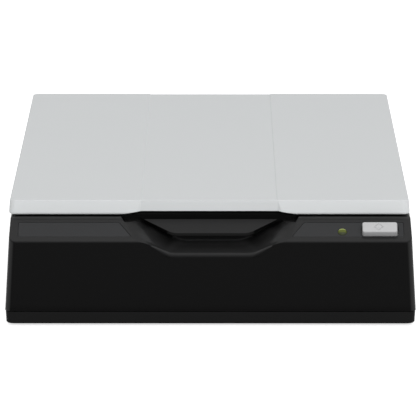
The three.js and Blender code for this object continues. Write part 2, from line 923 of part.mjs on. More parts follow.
// Light pipe with its dome above the panel, and the light chip under its end
function lightPipeSolid() {
  const collarTop = -caseWall - seatGap;
  const collarRadius = lightRadius + lightCollar;
  const profile = [
    [0, -lightPipe],
    [lightRadius, -lightPipe],
    [lightRadius, collarTop - lightCollar],
    [collarRadius, collarTop - lightCollar],
    [collarRadius, collarTop],
    [lightRadius, collarTop],
  ];
  for (let i = 0; i <= cornerSteps; i += 1) {
    const angle = (i / cornerSteps) * (Math.PI / 2);
    profile.push([lightRadius * Math.cos(angle), lightDome * Math.sin(angle)]);
  }
  profile[profile.length - 1][0] = 0;
  return turned(profile, [lightAcross, lightUp]);
}
piece("light_pipe", lightPipeSolid(), lensGreen, panel);
piece(
  "light_chip",
  block(
    around(lightAcross, ledWidth),
    around(lightUp, ledDepth),
    [panelBoardTop, panelBoardTop + ledHeight],
  ),
  cableWhite,
  panel,
);
piece(
  "panel_board",
  block(
    around(panelBoardCentre, panelBoardWidth),
    [0, panelBoardLength],
    [panelBoardTop - boardThickness, panelBoardTop],
  ),
  boardGreen,
  panel,
);

// Platen glass bonded under the deck, and the white strip over its rear end
piece(
  "platen_glass",
  block(
    around(0, windowWidth + 2 * glassMargin),
    [windowFront - glassMargin, windowRear + stripLength + glassMargin / 2],
    [glassUnder, glassTop],
  ),
  clearGlass,
);
piece(
  "reference_strip",
  block(
    around(0, windowWidth + 2 * stripMargin - 2 * seatGap),
    [windowRear + seatGap, windowRear + stripLength],
    [glassTop, glassTop + stripThickness],
  ),
  padWhite,
);

// Guide rod in its two saddles, held by a clip at each end
piece("guide_rod", bar(rodRadius, [0, rodHeight], [-rodFront, rodRear], alongY), steel);
for (const [front, rear, place] of rodBlocks) {
  const clip = cut(
    block(
      around(0, 2 * rodBlockHalf),
      [front, rear],
      [rodHeight + seatGap, rodHeight + rodRadius + seatGap + rodClipTop],
    ),
    bar(rodRadius + seatGap, [0, rodHeight], [front - overrun, rear + overrun], alongY),
  );
  piece(`rod_clip_${place}`, clip, innerBlack);
}

// Sensor carriage, in its own frame: the local Y origin is the scan line
const along = around(0, trayLength);
const trayTop = trayFloorHeight + trayFloor;
const glideTop = glassUnder - seatGap;
const barTop = glideTop - barWindow;
const barLow = barFoot;

function carriageTray() {
  const outer = block(around(0, trayWidth), along, [trayFloorHeight, trayTop + trayLip]);
  const hollow = block(
    around(0, trayWidth - 2 * trayWall),
    around(0, trayLength - 2 * trayWall),
    [trayTop, trayTop + trayLip + overrun],
  );
  const house = block(
    around(0, 2 * bushHouseHalf),
    along,
    [rodHeight - bushHouseHalf + seatGap, trayFloorHeight + trayFloor / 2],
  );
  const bore = bar(
    rodRadius + seatGap + bushWall + seatGap,
    [0, rodHeight],
    [along[0] - overrun, along[1] + overrun],
    alongY,
  );
  return cut(join(cut(outer, hollow), house), bore);
}
piece("carriage_tray", carriageTray(), innerBlack, carriage);

// A sleeve: a round bar with a bore
const sleeve = (outer, inner, centre, [low, high], axis) =>
  cut(bar(outer, centre, [low, high], axis), bar(inner, centre, [low - overrun, high + overrun], axis));
piece(
  "rod_bush",
  sleeve(rodRadius + seatGap + bushWall, rodRadius + seatGap, [0, rodHeight], along, alongY),
  bronze,
  carriage,
);
piece(
  "rail_slider",
  block(
    around(railAcross, sliderWidth),
    along,
    [trayFloorHeight - seatGap - sliderHeight, trayFloorHeight - seatGap],
  ),
  gearWhite,
  carriage,
);

// Contact sensor bar: a housing with a trough, its window, lens array, light guide and board
function sensorBar() {
  const body = block(around(0, barWidth), around(0, barLength), [barLow, barTop]);
  const glides = [-1, 1].map((side) =>
    block(
      around(side * (barWidth / 2 - glideLength / 2), glideLength),
      around(0, barLength),
      [barTop - barWall, glideTop],
    ),
  );
  const trough = block(
    around(0, lensWidth + 2 * seatGap),
    around(0, barTrough),
    [barLow + barWall, glideTop + overrun],
  );
  const seat = block(
    around(0, barWidth - 2 * glideLength - 2 * seatGap),
    around(0, barLength - 2 * barWall),
    [barTop - barWindow - seatGap, glideTop + overrun],
  );
  return cut(join(body, ...glides), trough, seat);
}
piece("sensor_housing", sensorBar(), chipBlack, carriage);
piece(
  "sensor_window",
  block(
    around(0, barWidth - 2 * glideLength - 4 * seatGap),
    around(0, barLength - 2 * barWall - 2 * seatGap),
    [barTop - barWindow, barTop],
  ),
  clearGlass,
  carriage,
);
piece(
  "lens_array",
  block(
    around(0, lensWidth),
    around(0, lensLength),
    [barLow + barWall + seatGap, barLow + barWall + seatGap + lensHeight],
  ),
  innerBlack,
  carriage,
);
piece(
  "light_guide",
  block(
    around(0, lensWidth),
    [-barTrough / 2 + seatGap, -lensLength / 2 - seatGap],
    [barLow + barWall + seatGap, barLow + barWall + seatGap + guideSide],
  ),
  clearGlass,
  carriage,
);
const springReach = barWidth / 2 - springWidth / 2;
piece(
  "sensor_board",
  block(
    around(0, 2 * springReach - springWidth - 2 * seatGap),
    around(0, barLength - 2 * barWall),
    [barLow - seatGap - barBoardThickness, barLow - seatGap],
  ),
  boardGreen,
  carriage,
);

// Leaf springs that press the bar up to the glass
function leafSpring(x) {
  const low = trayTop + seatGap;
  const rise = barLow - seatGap - low;
  const half = springWidth / 2;
  return prism(
    [
      [x - half, low],
      [x - half / 2, low],
      [x, low + rise - springLeaf],
      [x + half / 2, low],
      [x + half, low],
      [x + half, low + springLeaf],
      [x + half / 2, low + springLeaf],
      [x + half / 6, low + rise],
      [x - half / 6, low + rise],
      [x - half / 2, low + springLeaf],
      [x - half, low + springLeaf],
    ],
    around(0, barLength / 2),
    alongY,
  );
}
for (const [side, place] of [[-1, "left"], [1, "right"]]) {
  piece(`sensor_spring_${place}`, leafSpring(side * springReach), steel, carriage);
}

// Clamp that ties the carriage to one run of the belt
function beltClamp() {
  const runOuter = driveAcross - beltRadius - beltThickness;
  const runInner = driveAcross - beltRadius;
  const body = block(
    around((runOuter + runInner) / 2, clampWidth),
    around(0, clampLength),
    [beltLow - seatGap - flangeThickness, trayFloorHeight - seatGap],
  );
  const slot = block(
    [runOuter - seatGap, runInner + seatGap],
    around(0, clampLength + 2 * overrun),
    [beltLow - seatGap, beltHigh + seatGap],
  );
  return cut(body, slot);
}
piece("belt_clamp", beltClamp(), gearWhite, carriage);

// Belt round the drive pulley and the idler
function driveBelt() {
  const loop = (radius, [low, high]) => {
    const points = [];
    for (const [centre, start] of [[driveRear, 0], [-idlerFront, 1]]) {
      for (let i = 0; i <= fineSides / 2; i += 1) {
        const angle = (start + (2 * i) / fineSides) * Math.PI;
        points.push([driveAcross + radius * Math.cos(angle), centre + radius * Math.sin(angle)]);
      }
    }
    return prism(points, [low, high]);
  };
  return cut(
    loop(beltRadius + beltThickness, [beltLow, beltHigh]),
    loop(beltRadius, [beltLow - overrun, beltHigh + overrun]),
  );
}
piece("drive_belt", driveBelt(), rubberBlack);

// Pulleys: a core and a lower flange, the drive pulley under its gear and the idler under a top flange
const pulleyLow = beltLow - seatGap - flangeThickness;
const core = [
  bar(beltRadius - seatGap, [0, 0], [pulleyLow, gearLow + flangeThickness]),
  bar(pulleyFlange, [0, 0], [pulleyLow, pulleyLow + flangeThickness]),
];
const bore = (radius) => bar(radius, [0, 0], [0, plateHeight], alongZ, coarseSides);
const driveGear = cut(
  join(...core, prism(gearOutline(gearTeeth, 0, [0, 0]), [gearLow, gearHigh])),
  bore(axleRadius + runningGap),
);
const idler = cut(
  join(...core, bar(pulleyFlange, [0, 0], [gearLow, gearLow + flangeThickness])),
  bore(axleRadius + runningGap),
);
const pinionPhase = Math.PI + Math.PI / pinionTeeth;
const pinion = join(
  prism(gearOutline(pinionTeeth, pinionPhase, [0, 0]), [gearLow, gearHigh]),
  bar(shaftRadius, [0, 0], [gearLow, plateHeight + plateThickness - seatGap], alongZ, coarseSides),
);
piece("drive_gear", driveGear, gearWhite, scanner, [driveAcross, driveRear, 0]);
piece("idler_pulley", idler, gearWhite, scanner, [driveAcross, -idlerFront, 0]);
piece("motor_pinion", pinion, bronze, scanner, [motorAcross, driveRear, 0]);

// Steel plates over the gear and the idler, each with its axle riveted in
const plateTop = plateHeight + plateThickness;
piece(
  "drive_plate",
  join(
    cut(
      block([plateLeft, plateRight], [plateFront, plateRear], [plateHeight, plateTop]),
      bar(shaftRadius + runningGap, [motorAcross, driveRear], [0, plateTop + overrun], alongZ, coarseSides),
    ),
    bar(axleRadius, [driveAcross, driveRear], [floorTop + seatGap, plateTop], alongZ, coarseSides),
  ),
  steel,
);
piece(
  "idler_plate",
  join(
    block(
      around(driveAcross, 2 * (idlerPlateHalf + platePostRadius)),
      around(-idlerFront, idlerPlateLength),
      [idlerPlateHeight, idlerPlateHeight + plateThickness],
    ),
    bar(
      axleRadius,
      [driveAcross, -idlerFront],
      [floorTop + seatGap, idlerPlateHeight + plateThickness],
      alongZ,
      coarseSides,
    ),
  ),
  steel,
);

// Stepper motor standing on the drive plate, shaft down
piece(
  "stepper_motor",
  join(
    bar(motorRadius, [motorAcross, driveRear], [plateTop, plateTop + motorHeight - motorCrownHeight]),
    bar(motorCrown, [motorAcross, driveRear], [plateTop + motorHeight / 2, plateTop + motorHeight]),
  ),
  zinc,
);

// Main board on its posts, with the controller, the cable connector and the two sockets
const boardTop = boardHeight + boardThickness;
piece(
  "main_board",
  block([boardLeft, boardRight], [boardFront, boardRear], [boardHeight, boardTop]),
  boardGreen,
);
piece(
  "controller_chip",
  block(
    around((boardLeft + cableAcross - cableWidth) / 2, chipSide),
    [boardFront + seatGap, boardFront + seatGap + chipSide],
    [boardTop, boardTop + chipHeight],
  ),
  chipBlack,
);
piece(
  "cable_connector",
  block(
    around(cableAcross, cableWidth + 2 * cableThickness),
    [boardFront + seatGap, boardFront + seatGap + connectorDepth],
    [boardTop, boardTop + connectorHeight],
  ),
  gearWhite,
);

function usbSocket() {
  const face = rearAt(boardTop + usbHeight) - socketSetback;
  const middle = boardTop + usbHeight / 2;
  const body = block(around(usbAcross, usbWidth), [face - usbDepth, face], [boardTop, boardTop + usbHeight]);
  const mouth = block(
    around(usbAcross, usbMouthWidth),
    [face - usbMouthDepth, face + overrun],
    around(middle, usbMouthHeight),
  );
  const tongue = block(
    around(usbAcross, usbTongueWidth),
    [face - usbMouthDepth - overrun, face - usbTongueSetback],
    around(middle, usbTongueHeight),
  );
  return join(cut(body, mouth), tongue);
}
piece("usb_socket", usbSocket(), zinc);

function powerSocket() {
  const face = rearAt(boardTop + dcHeight) - socketSetback;
  const middle = boardTop + dcHeight / 2;
  const body = block(around(dcAcross, dcWidth), [face - dcDepth, face], [boardTop, boardTop + dcHeight]);
  const mouth = bar(
    dcBore,
    [dcAcross, middle],
    [face - usbMouthDepth, face + overrun],
    alongY,
    coarseSides,
  );
  const pin = bar(
    dcPin,
    [dcAcross, middle],
    [face - usbMouthDepth - overrun, face - dcPinSetback],
    alongY,
    coarseSides,
  );
  return join(cut(body, mouth), pin);
}
piece("power_socket", powerSocket(), chipBlack);

// Flat cable: from the connector along the floor, round its rolling bend and back to the carriage
function flatCable() {
  const startY = boardFront;
  const startZ = boardTop + connectorHeight / 2;
  const centre = [
    [startY, startZ],
    [startY - cableBend, startZ],
    [startY - 2 * cableBend, cableLow],
  ];
  const highZ = trayFloorHeight - seatGap - cableThickness;
  const radius = (highZ - cableLow) / 2;
  const turnSteps = cornerSteps * 2;
  for (let i = 0; i <= turnSteps; i += 1) {
    const angle = -Math.PI / 2 - (i / turnSteps) * Math.PI;
    centre.push([cableTurn + radius * Math.cos(angle), cableLow + radius + radius * Math.sin(angle)]);
  }
  centre.push([carriageHome - trayLength / 2 + cableBend, highZ]);
  const half = cableThickness / 2;
  const side = (sign) =>
    centre.map(([y, z], i) => {
      const [y0, z0] = centre[Math.max(i - 1, 0)];
      const [y1, z1] = centre[Math.min(i + 1, centre.length - 1)];
      const length = Math.hypot(y1 - y0, z1 - z0);
      return [y - (sign * half * (z1 - z0)) / length, z + (sign * half * (y1 - y0)) / length];
    });
  return prism([...side(-1), ...side(1).reverse()], around(cableAcross, cableWidth), alongX);
}
piece("flat_cable", flatCable(), cableWhite);

// Lid, in its own frame, shifted sideways by its play on the hinge pins
const lidRing = (inset, z) =>
  ring(
    [-lidWidth / 2 + inset, lidWidth / 2 - inset],
    [lidFront + inset, lidRear - inset],
    Math.max(lidCorner - inset, lidCorner / 4),
    z,
  );

// The slanted face in the middle of the lid's front, moved in by a depth
function lidFacet(depth) {
  const shift = depth * Math.SQRT2;
  const edgeZ = lidBottom + edgeLift;
  const far = lidHeight + overrun;
  const wedge = prism(
    [
      [lidFront + shift - overrun, edgeZ - overrun],
      [lidFront + shift + far, edgeZ + far],
      [lidFront - overrun, edgeZ + far],
      [lidFront - overrun, edgeZ - overrun],
    ],
    around(0, lidWidth),
    alongX,
  );
  const face = prism(
    mirrored(
      [
        [facetBottomWidth / 2 + depth, edgeZ - overrun],
        [facetTopWidth / 2 + depth, lidTop + overrun],
      ],
      gripCentre - lidShift,
    ),
    [lidFront - 2 * overrun, lidFront + 2 * far + shift],
    alongY,
  );
  return wedge.intersect(face);
}

const coverUnder = lidTop - lidWall;
const trayPlateTop = coverUnder - seatGap;
const trayPlateLow = trayPlateTop - trayThickness;

function lidCover() {
  const outer = loft([
    lidRing(lidSoftInset, lidBottom),
    lidRing(lidSoftInset / 4, lidBottom + lidSoftEdge / 3),
    lidRing(0, lidBottom + lidSoftEdge),
    lidRing(lidTopInset, lidTop - lidTopBreak),
    lidRing(lidTopInset + lidTopBreak, lidTop),
  ]);
  const hollow = loft([lidRing(lidWall, lidBottom - overrun), lidRing(lidWall, coverUnder)]);
  const band = block(
    around(gripCentre - lidShift, bandWidth),
    [lidFront - overrun, lidRear + overrun],
    [lidTop - bandSink, lidTop + overrun],
  );
  const lift = prism(
    mirrored(
      [
        [liftBottomWidth / 2 + (liftBottomWidth - liftTopWidth) / 2, lidBottom - edgeLift],
        [liftTopWidth / 2, lidBottom + edgeLift],
      ],
      gripCentre - lidShift,
    ),
    [lidFront - overrun, lidFront + lidWall + overrun],
    alongY,
  );
  return cut(outer, cut(hollow, lidFacet(lidWall)), band, lidFacet(0), lift);
}
piece("lid_cover", lidCover(), lidGrey, lid);

// Inner tray of the lid: a plate with a rim, and the two hinge barrels on their arms
const trayInset = lidWall + seatGap;
const rimLow = trayPlateLow - trayRimDrop;

function lidTray() {
  const plate = loft([lidRing(trayInset, rimLow), lidRing(trayInset, trayPlateTop)]);
  const hollow = loft([
    lidRing(trayInset + trayRim, rimLow - overrun),
    lidRing(trayInset + trayRim, trayPlateLow),
  ]);
  const barrels = hingeSides.map(([x]) => {
    const across = around(x, hingeBarrelWidth);
    const barrel = bar(hingeBarrelRadius, [hingeY, hingeHeight], across, alongX);
    const arm = block(
      across,
      [hingeY - hingeBarrelRadius, lidRear - trayInset],
      [hingeHeight, trayPlateTop - hingeArmTop / 2],
    );
    return join(barrel, arm);
  });
  const pins = bar(
    hingePinRadius + seatGap,
    [hingeY, hingeHeight],
    around(0, caseWidth),
    alongX,
    coarseSides,
  );
  const gripNotch = block(
    around(gripCentre - lidShift, gripWebWidth + 2 * seatGap),
    [lidFront, lidFront + trayInset + trayRim + overrun],
    [rimLow - overrun, trayPlateLow],
  );
  return cut(join(cut(plate, hollow), ...barrels), pins, gripNotch, lidFacet(trayInset));
}
piece("lid_tray", lidTray(), gripGrey, lid);

// Grip: a web down from the lid's tray and a tab that lies along the panel slope in the scoop
const gripY = lidFront + trayInset;
const gripTop =
  (gripY - ridgeY - gripSink * Math.sin(panelAngle)) / Math.cos(panelAngle);
const gripKink = ridgeHeight + gripTop * Math.sin(panelAngle) - gripSink * Math.cos(panelAngle);

function gripSolid() {
  const centre = gripCentre - lidShift;
  const foot = gripTop - gripLength;
  const slant = Math.atan2(gripLength, (gripTopWidth - gripFootWidth) / 2);
  const reach = gripCornerRadius * Math.tan(slant / 2);
  const shape = new THREE.Shape();
  const halfFoot = gripFootWidth / 2;
  const halfTop = gripTopWidth / 2;
  const turnX = reach * Math.cos(slant);
  const turnY = reach * Math.sin(slant);
  shape.moveTo(centre - halfTop, gripTop);
  shape.lineTo(centre - halfFoot - turnX, foot + turnY);
  shape.quadraticCurveTo(centre - halfFoot, foot, centre - halfFoot + reach, foot);
  shape.lineTo(centre + halfFoot - reach, foot);
  shape.quadraticCurveTo(centre + halfFoot, foot, centre + halfFoot + turnX, foot + turnY);
  shape.lineTo(centre + halfTop, gripTop);
  const outline = shape.getPoints(cornerSteps + 1).map(({ x, y }) => [x, y]);
  const tab = onPanel(prism(outline, [-gripSink - gripPlate, -gripSink]));
  const web = prism(
    mirrored(
      [
        [gripTopWidth / 2, gripKink - gripPlate],
        [gripTopWidth / 2, gripKink],
        [gripWebWidth / 2, trayPlateLow - gripWeb],
        [gripWebWidth / 2, trayPlateLow],
      ],
      centre,
    ),
    [gripY, gripY + gripWeb],
    alongY,
  );
  const flange = block(
    around(centre, gripWebWidth),
    [gripY, gripY + gripFlange],
    [trayPlateLow - gripWeb, trayPlateLow],
  );
  return cut(join(tab, web, flange), lidFacet(trayInset));
}
piece("lid_grip", gripSolid(), gripGrey, lid);

// Document pad: foam under the tray with a white sheet, as large as the page
const padWidth = windowWidth - 2 * padInset;
const padY = [windowFront + padInset, windowRear - padInset];
const sheetLow = glassTop + padGap;
piece(
  "pad_foam",
  block(around(-lidShift, padWidth), padY, [sheetLow + padSheet, trayPlateLow]),
  foamGrey,
  lid,
);
piece(
  "pad_sheet",
  block(around(-lidShift, padWidth), padY, [sheetLow, sheetLow + padSheet]),
  padWhite,
  lid,
);

// Rubber bumpers at the front corners of the tray
for (const [side, place] of [[-1, "left"], [1, "right"]]) {
  const outerX = lidWidth / 2 - trayInset - trayRim - seatGap;
  const xs = [side * outerX, side * (outerX - bumperSide)].sort((a, b) => a - b);
  const front = lidFront + trayInset + trayRim + seatGap;
  piece(
    `lid_bumper_${place}`,
    block(xs, [front, front + bumperSide], [panelTopHeight + seatGap, trayPlateLow]),
    rubberBlack,
    lid,
  );
}

// Hinge pins through the lugs of the case and the barrels of the lid
for (const [x, place] of hingeSides) {
  piece(
    `hinge_pin_${place}`,
    bar(
      hingePinRadius,
      [hingeY, hingeHeight],
      around(x + lidShift, hingeBlockWidth - 2 * seatGap),
      alongX,
      coarseSides,
    ),
    steel,
  );
}

export default scanner;
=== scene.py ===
import math

import bmesh
import bpy
from mathutils import Matrix, Vector


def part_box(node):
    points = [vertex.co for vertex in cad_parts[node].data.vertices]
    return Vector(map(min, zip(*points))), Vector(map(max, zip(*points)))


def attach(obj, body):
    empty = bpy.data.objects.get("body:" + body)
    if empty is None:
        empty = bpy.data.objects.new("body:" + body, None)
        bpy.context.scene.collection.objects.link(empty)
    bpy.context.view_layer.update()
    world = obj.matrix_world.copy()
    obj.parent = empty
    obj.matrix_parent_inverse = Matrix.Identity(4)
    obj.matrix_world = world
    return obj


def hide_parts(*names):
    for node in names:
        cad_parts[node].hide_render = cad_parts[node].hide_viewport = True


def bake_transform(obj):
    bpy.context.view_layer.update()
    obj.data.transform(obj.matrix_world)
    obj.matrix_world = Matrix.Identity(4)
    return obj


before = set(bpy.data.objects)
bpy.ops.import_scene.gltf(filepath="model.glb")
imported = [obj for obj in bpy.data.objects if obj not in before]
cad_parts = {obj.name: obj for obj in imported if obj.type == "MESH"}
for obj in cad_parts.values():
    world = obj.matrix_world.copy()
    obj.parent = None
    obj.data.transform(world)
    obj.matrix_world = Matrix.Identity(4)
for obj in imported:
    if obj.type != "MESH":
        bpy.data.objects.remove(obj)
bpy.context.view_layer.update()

scene = bpy.context.scene
scene.view_settings.view_transform = "Standard"

# Camera. It looks at the scanner as the photograph does: from straight in front, 1.7 m away and eleven
# degrees above, through a long lens.
lens = bpy.data.cameras.new("photo_camera")
lens.sensor_width = 36
lens.lens = 400.3
camera = bpy.data.objects.new("photo_camera", lens)
camera.location = (0.00158, -1.72471, 0.36229)
camera.rotation_euler = (math.radians(90 - 11.271), 0, math.radians(0.0621))
scene.collection.objects.link(camera)
scene.camera = camera


# Lower case. A shallow tray of black ABS, injection moulded in one shot, with a chamfer round its foot; the
# seam to the upper case runs just above it. Its skin is fine and satin, and paler along the edges: rubbed a
# little there, and a painted highlight as well.
def effect_group(name, inputs, outputs):
    group = bpy.data.node_groups.new(name, "ShaderNodeTree")
    for socket, kind, value in inputs:
        made = group.interface.new_socket(name=socket, in_out="INPUT", socket_type=kind)
        made.default_value = value
    for socket, kind in outputs:
        group.interface.new_socket(name=socket, in_out="OUTPUT", socket_type=kind)
    return group


def wire(tree, kind, settings=(), **links):
    node = tree.nodes.new(kind)
    for name, value in dict(settings).items():
        if isinstance(name, int) or name in node.inputs:
            node.inputs[name].default_value = value
        else:
            setattr(node, name, value)
    for name, source in links.items():
        number = int(name[1:]) if name[0] == "_" else name
        tree.links.new(source, node.inputs[number])
    return node


def moulded_skin_group():
    group = effect_group(
        "moulded_skin",
        [
            ("Colour", "NodeSocketColor", (0.5, 0.5, 0.5, 1)),
            ("Roughness", "NodeSocketFloat", 0.5),
            ("Grain Size", "NodeSocketFloat", 1500),
            ("Grain Depth", "NodeSocketFloat", 0.00001),
            ("Mottle", "NodeSocketFloat", 0.03),
            ("Rub", "NodeSocketFloat", 0.3),
            ("Rub Width", "NodeSocketFloat", 0.0003),
        ],
        [("Colour", "NodeSocketColor"), ("Roughness", "NodeSocketFloat"), ("Normal", "NodeSocketVector")],
    )
    given = wire(group, "NodeGroupInput").outputs
    place = wire(group, "ShaderNodeTexCoord").outputs["Object"]
    soft = wire(group, "ShaderNodeBevel", {"samples": 4}, Radius=given["Rub Width"]).outputs["Normal"]
    grain = wire(group, "ShaderNodeTexNoise", {"Detail": 3}, Vector=place, Scale=given["Grain Size"])
    bump = wire(
        group,
        "ShaderNodeBump",
        {"Strength": 1},
        Distance=given["Grain Depth"],
        Height=grain.outputs["Fac"],
        Normal=soft,
    )
    cloud = wire(group, "ShaderNodeTexNoise", {"Scale": 40, "Detail": 5}, Vector=place).outputs["Fac"]
    swing = wire(group, "ShaderNodeMath", {"operation": "SUBTRACT", 1: 0.5}, _0=cloud).outputs[0]
    shade = wire(
        group, "ShaderNodeMath", {"operation": "MULTIPLY_ADD", 2: 1}, _0=swing, _1=given["Mottle"]
    ).outputs[0]
    toned = wire(group, "ShaderNodeVectorMath", {"operation": "SCALE"}, _0=given["Colour"], Scale=shade)
    flat = wire(group, "ShaderNodeNewGeometry").outputs["Normal"]
    facing = wire(group, "ShaderNodeVectorMath", {"operation": "DOT_PRODUCT"}, _0=soft, _1=flat)
    # Edges turn paler: partly wear, partly a painted highlight where an edge would catch the light
    edge = wire(
        group,
        "ShaderNodeMapRange",
        {"From Min": 0.995, "From Max": 0.85, "To Min": 0, "To Max": 1},
        Value=facing.outputs["Value"],
    )
    patch = wire(group, "ShaderNodeTexNoise", {"Scale": 260, "Detail": 4}, Vector=place).outputs["Fac"]
    worn_and_lit = wire(group, "ShaderNodeMath", {"operation": "MULTIPLY"}, _0=edge.outputs[0], _1=patch)
    rubbed = wire(group, "ShaderNodeMath", {"operation": "MULTIPLY"}, _0=worn_and_lit.outputs[0], _1=given["Rub"])
    pale = wire(
        group,
        "ShaderNodeVectorMath",
        {"operation": "MULTIPLY_ADD", 1: (1.3, 1.3, 1.3), 2: (0.03, 0.03, 0.03)},
        _0=given["Colour"],
    )
    blend = wire(
        group,
        "ShaderNodeMix",
        {"data_type": "RGBA"},
        _0=rubbed.outputs[0],
        _6=toned.outputs[0],
        _7=pale.outputs[0],
    )
    rough = wire(
        group,
        "ShaderNodeMath",
        {"operation": "MULTIPLY_ADD", 1: 0.16},
        _0=swing,
        _2=given["Roughness"],
    )
    wire(
        group,
        "NodeGroupOutput",
        Colour=blend.outputs[2],
        Roughness=rough.outputs[0],
        Normal=bump.outputs["Normal"],
    )
    return group


moulded_skin = moulded_skin_group()


def material_from(group, name, values, fixed):
    material = bpy.data.materials.new(name)
    material.use_nodes = True
    tree = material.node_tree
    shader = tree.nodes["Principled BSDF"]
    effect = wire(tree, "ShaderNodeGroup", {"node_tree": group})
    for socket, value in values.items():
        effect.inputs[socket].default_value = value
    tree.links.new(effect.outputs["Colour"], shader.inputs["Base Color"])
    tree.links.new(effect.outputs["Roughness"], shader.inputs["Roughness"])
    tree.links.new(effect.outputs["Normal"], shader.inputs["Normal"])
    for socket, value in fixed.items():
        shader.inputs[socket].default_value = value
    material.diffuse_color = values["Colour"]
    return material


def moulded(name, colour, roughness, values=(), **fixed):
    chosen = {"Colour": (*colour, 1), "Roughness": roughness, **dict(values)}
    return material_from(moulded_skin, name, chosen, {k.replace("_", " "): v for k, v in fixed.items()})


def dress(node, material):
    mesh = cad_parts[node].data
    mesh.materials.clear()
    mesh.materials.append(material)


def finished(name, bm, material, body, *nodes, smooth=35, weighted=True):
    bmesh.ops.recalc_face_normals(bm, faces=bm.faces)
    mesh = bpy.data.meshes.new(name)
    bm.to_mesh(mesh)
    bm.free()
    mesh.shade_smooth()
    mesh.set_sharp_from_angle(angle=math.radians(smooth))
    mesh.materials.clear()
    mesh.materials.append(material)
    piece = bpy.data.objects.new(name, mesh)
    scene.collection.objects.link(piece)
    if weighted:
        weighting = piece.modifiers.new("flat_faces", "WEIGHTED_NORMAL")
        weighting.keep_sharp = True
    if body:
        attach(piece, body)
    if nodes:
        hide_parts(*nodes)
    return piece


def solid_of(node):
    bm = bmesh.new()
    bm.from_mesh(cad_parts[node].data)
    bmesh.ops.remove_doubles(bm, verts=bm.verts, dist=0.000002)
    bmesh.ops.dissolve_limit(bm, angle_limit=math.radians(0.5), verts=bm.verts, edges=bm.edges)
    return bm


def soft_edged(name, node, radius, material, body, segments=2):
    piece = finished(name, solid_of(node), material, body, node, smooth=30, weighted=False)
    bevel = piece.modifiers.new("broken_edges", "BEVEL")
    bevel.width = radius
    bevel.segments = segments
    bevel.limit_method = "ANGLE"
    bevel.angle_limit = math.radians(40)
    bevel.harden_normals = True
    return piece


base_black = moulded(
    "base_black", (0.0078, 0.0078, 0.0079), 0.5, {"Mottle": 0.12, "Rub": 0.25}, Specular_IOR_Level=0.04
)
base_tray = soft_edged("base_tray", "lower_case", 0.0002, base_black, "case")

# The tray's outer wall is drawn in by one small step all round. Below it the chamfer and the ring at the foot
# are pushed out again, and the ring is raised by the same step.
half_width = 0.0725
half_depth = 0.117
outer_skin = 0.0025
chamfer_top = 0.0014
chamfer_filled = 0.0004
foot_ring = 0.001
ring_filled = 0.0006
tray_step = 0.0002
for vert in base_tray.data.vertices:
    if abs(vert.co.x) > half_width - outer_skin or abs(vert.co.y) > half_depth - outer_skin:
        filled = 0
        if vert.co.z < foot_ring:
            filled = ring_filled
            vert.co.z += tray_step
        elif vert.co.z < chamfer_top:
            filled = chamfer_filled
        vert.co.x *= 1 + (filled - tray_step) / half_width
        vert.co.y *= 1 + (filled - tray_step) / half_depth

# Rubber feet. Moulded pads, each with a rounded rim and a shallow dish underneath, pressed into round
# recesses of the base.
rubber_black = moulded(
    "rubber_black", (0.012, 0.012, 0.012), 0.85, {"Grain Size": 2600, "Grain Depth": 0.00002, "Mottle": 0.3}
)


def turned(profile, centre, sides):
    bm = bmesh.new()
    points = [bm.verts.new((radius, 0, z)) for radius, z in profile]
    edges = [bm.edges.new(pair) for pair in zip(points, points[1:])]
    bmesh.ops.spin(
        bm,
        geom=points + edges,
        cent=(0, 0, 0),
        axis=(0, 0, 1),
        angle=2 * math.pi,
        steps=sides,
        use_merge=True,
    )
    bmesh.ops.remove_doubles(bm, verts=bm.verts, dist=0.0000005)
    bmesh.ops.translate(bm, vec=centre, verts=bm.verts)
    return bm


rim = 0.0003
rim_ease = 0.3
dish_share = 0.6
foot_sides = 48
for foot in ("foot_front_left", "foot_front_right", "foot_rear_left", "foot_rear_right"):
    low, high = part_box(foot)
    outer = (high.x - low.x) / 2
    dish = outer * dish_share
    profile = [
        (0, rim),
        (dish, rim),
        (dish + rim, 0),
        (outer - rim, 0),
        (outer - rim * rim_ease, rim * rim_ease),
        (outer, rim),
        (outer, high.z - rim / 2),
        (outer - rim / 2, high.z),
        (0, high.z),
    ]
    centre = ((low.x + high.x) / 2, (low.y + high.y) / 2, 0)
    pad = turned(profile, centre, foot_sides)
    finished(foot.replace("foot", "rubber_foot"), pad, rubber_black, "case", foot)


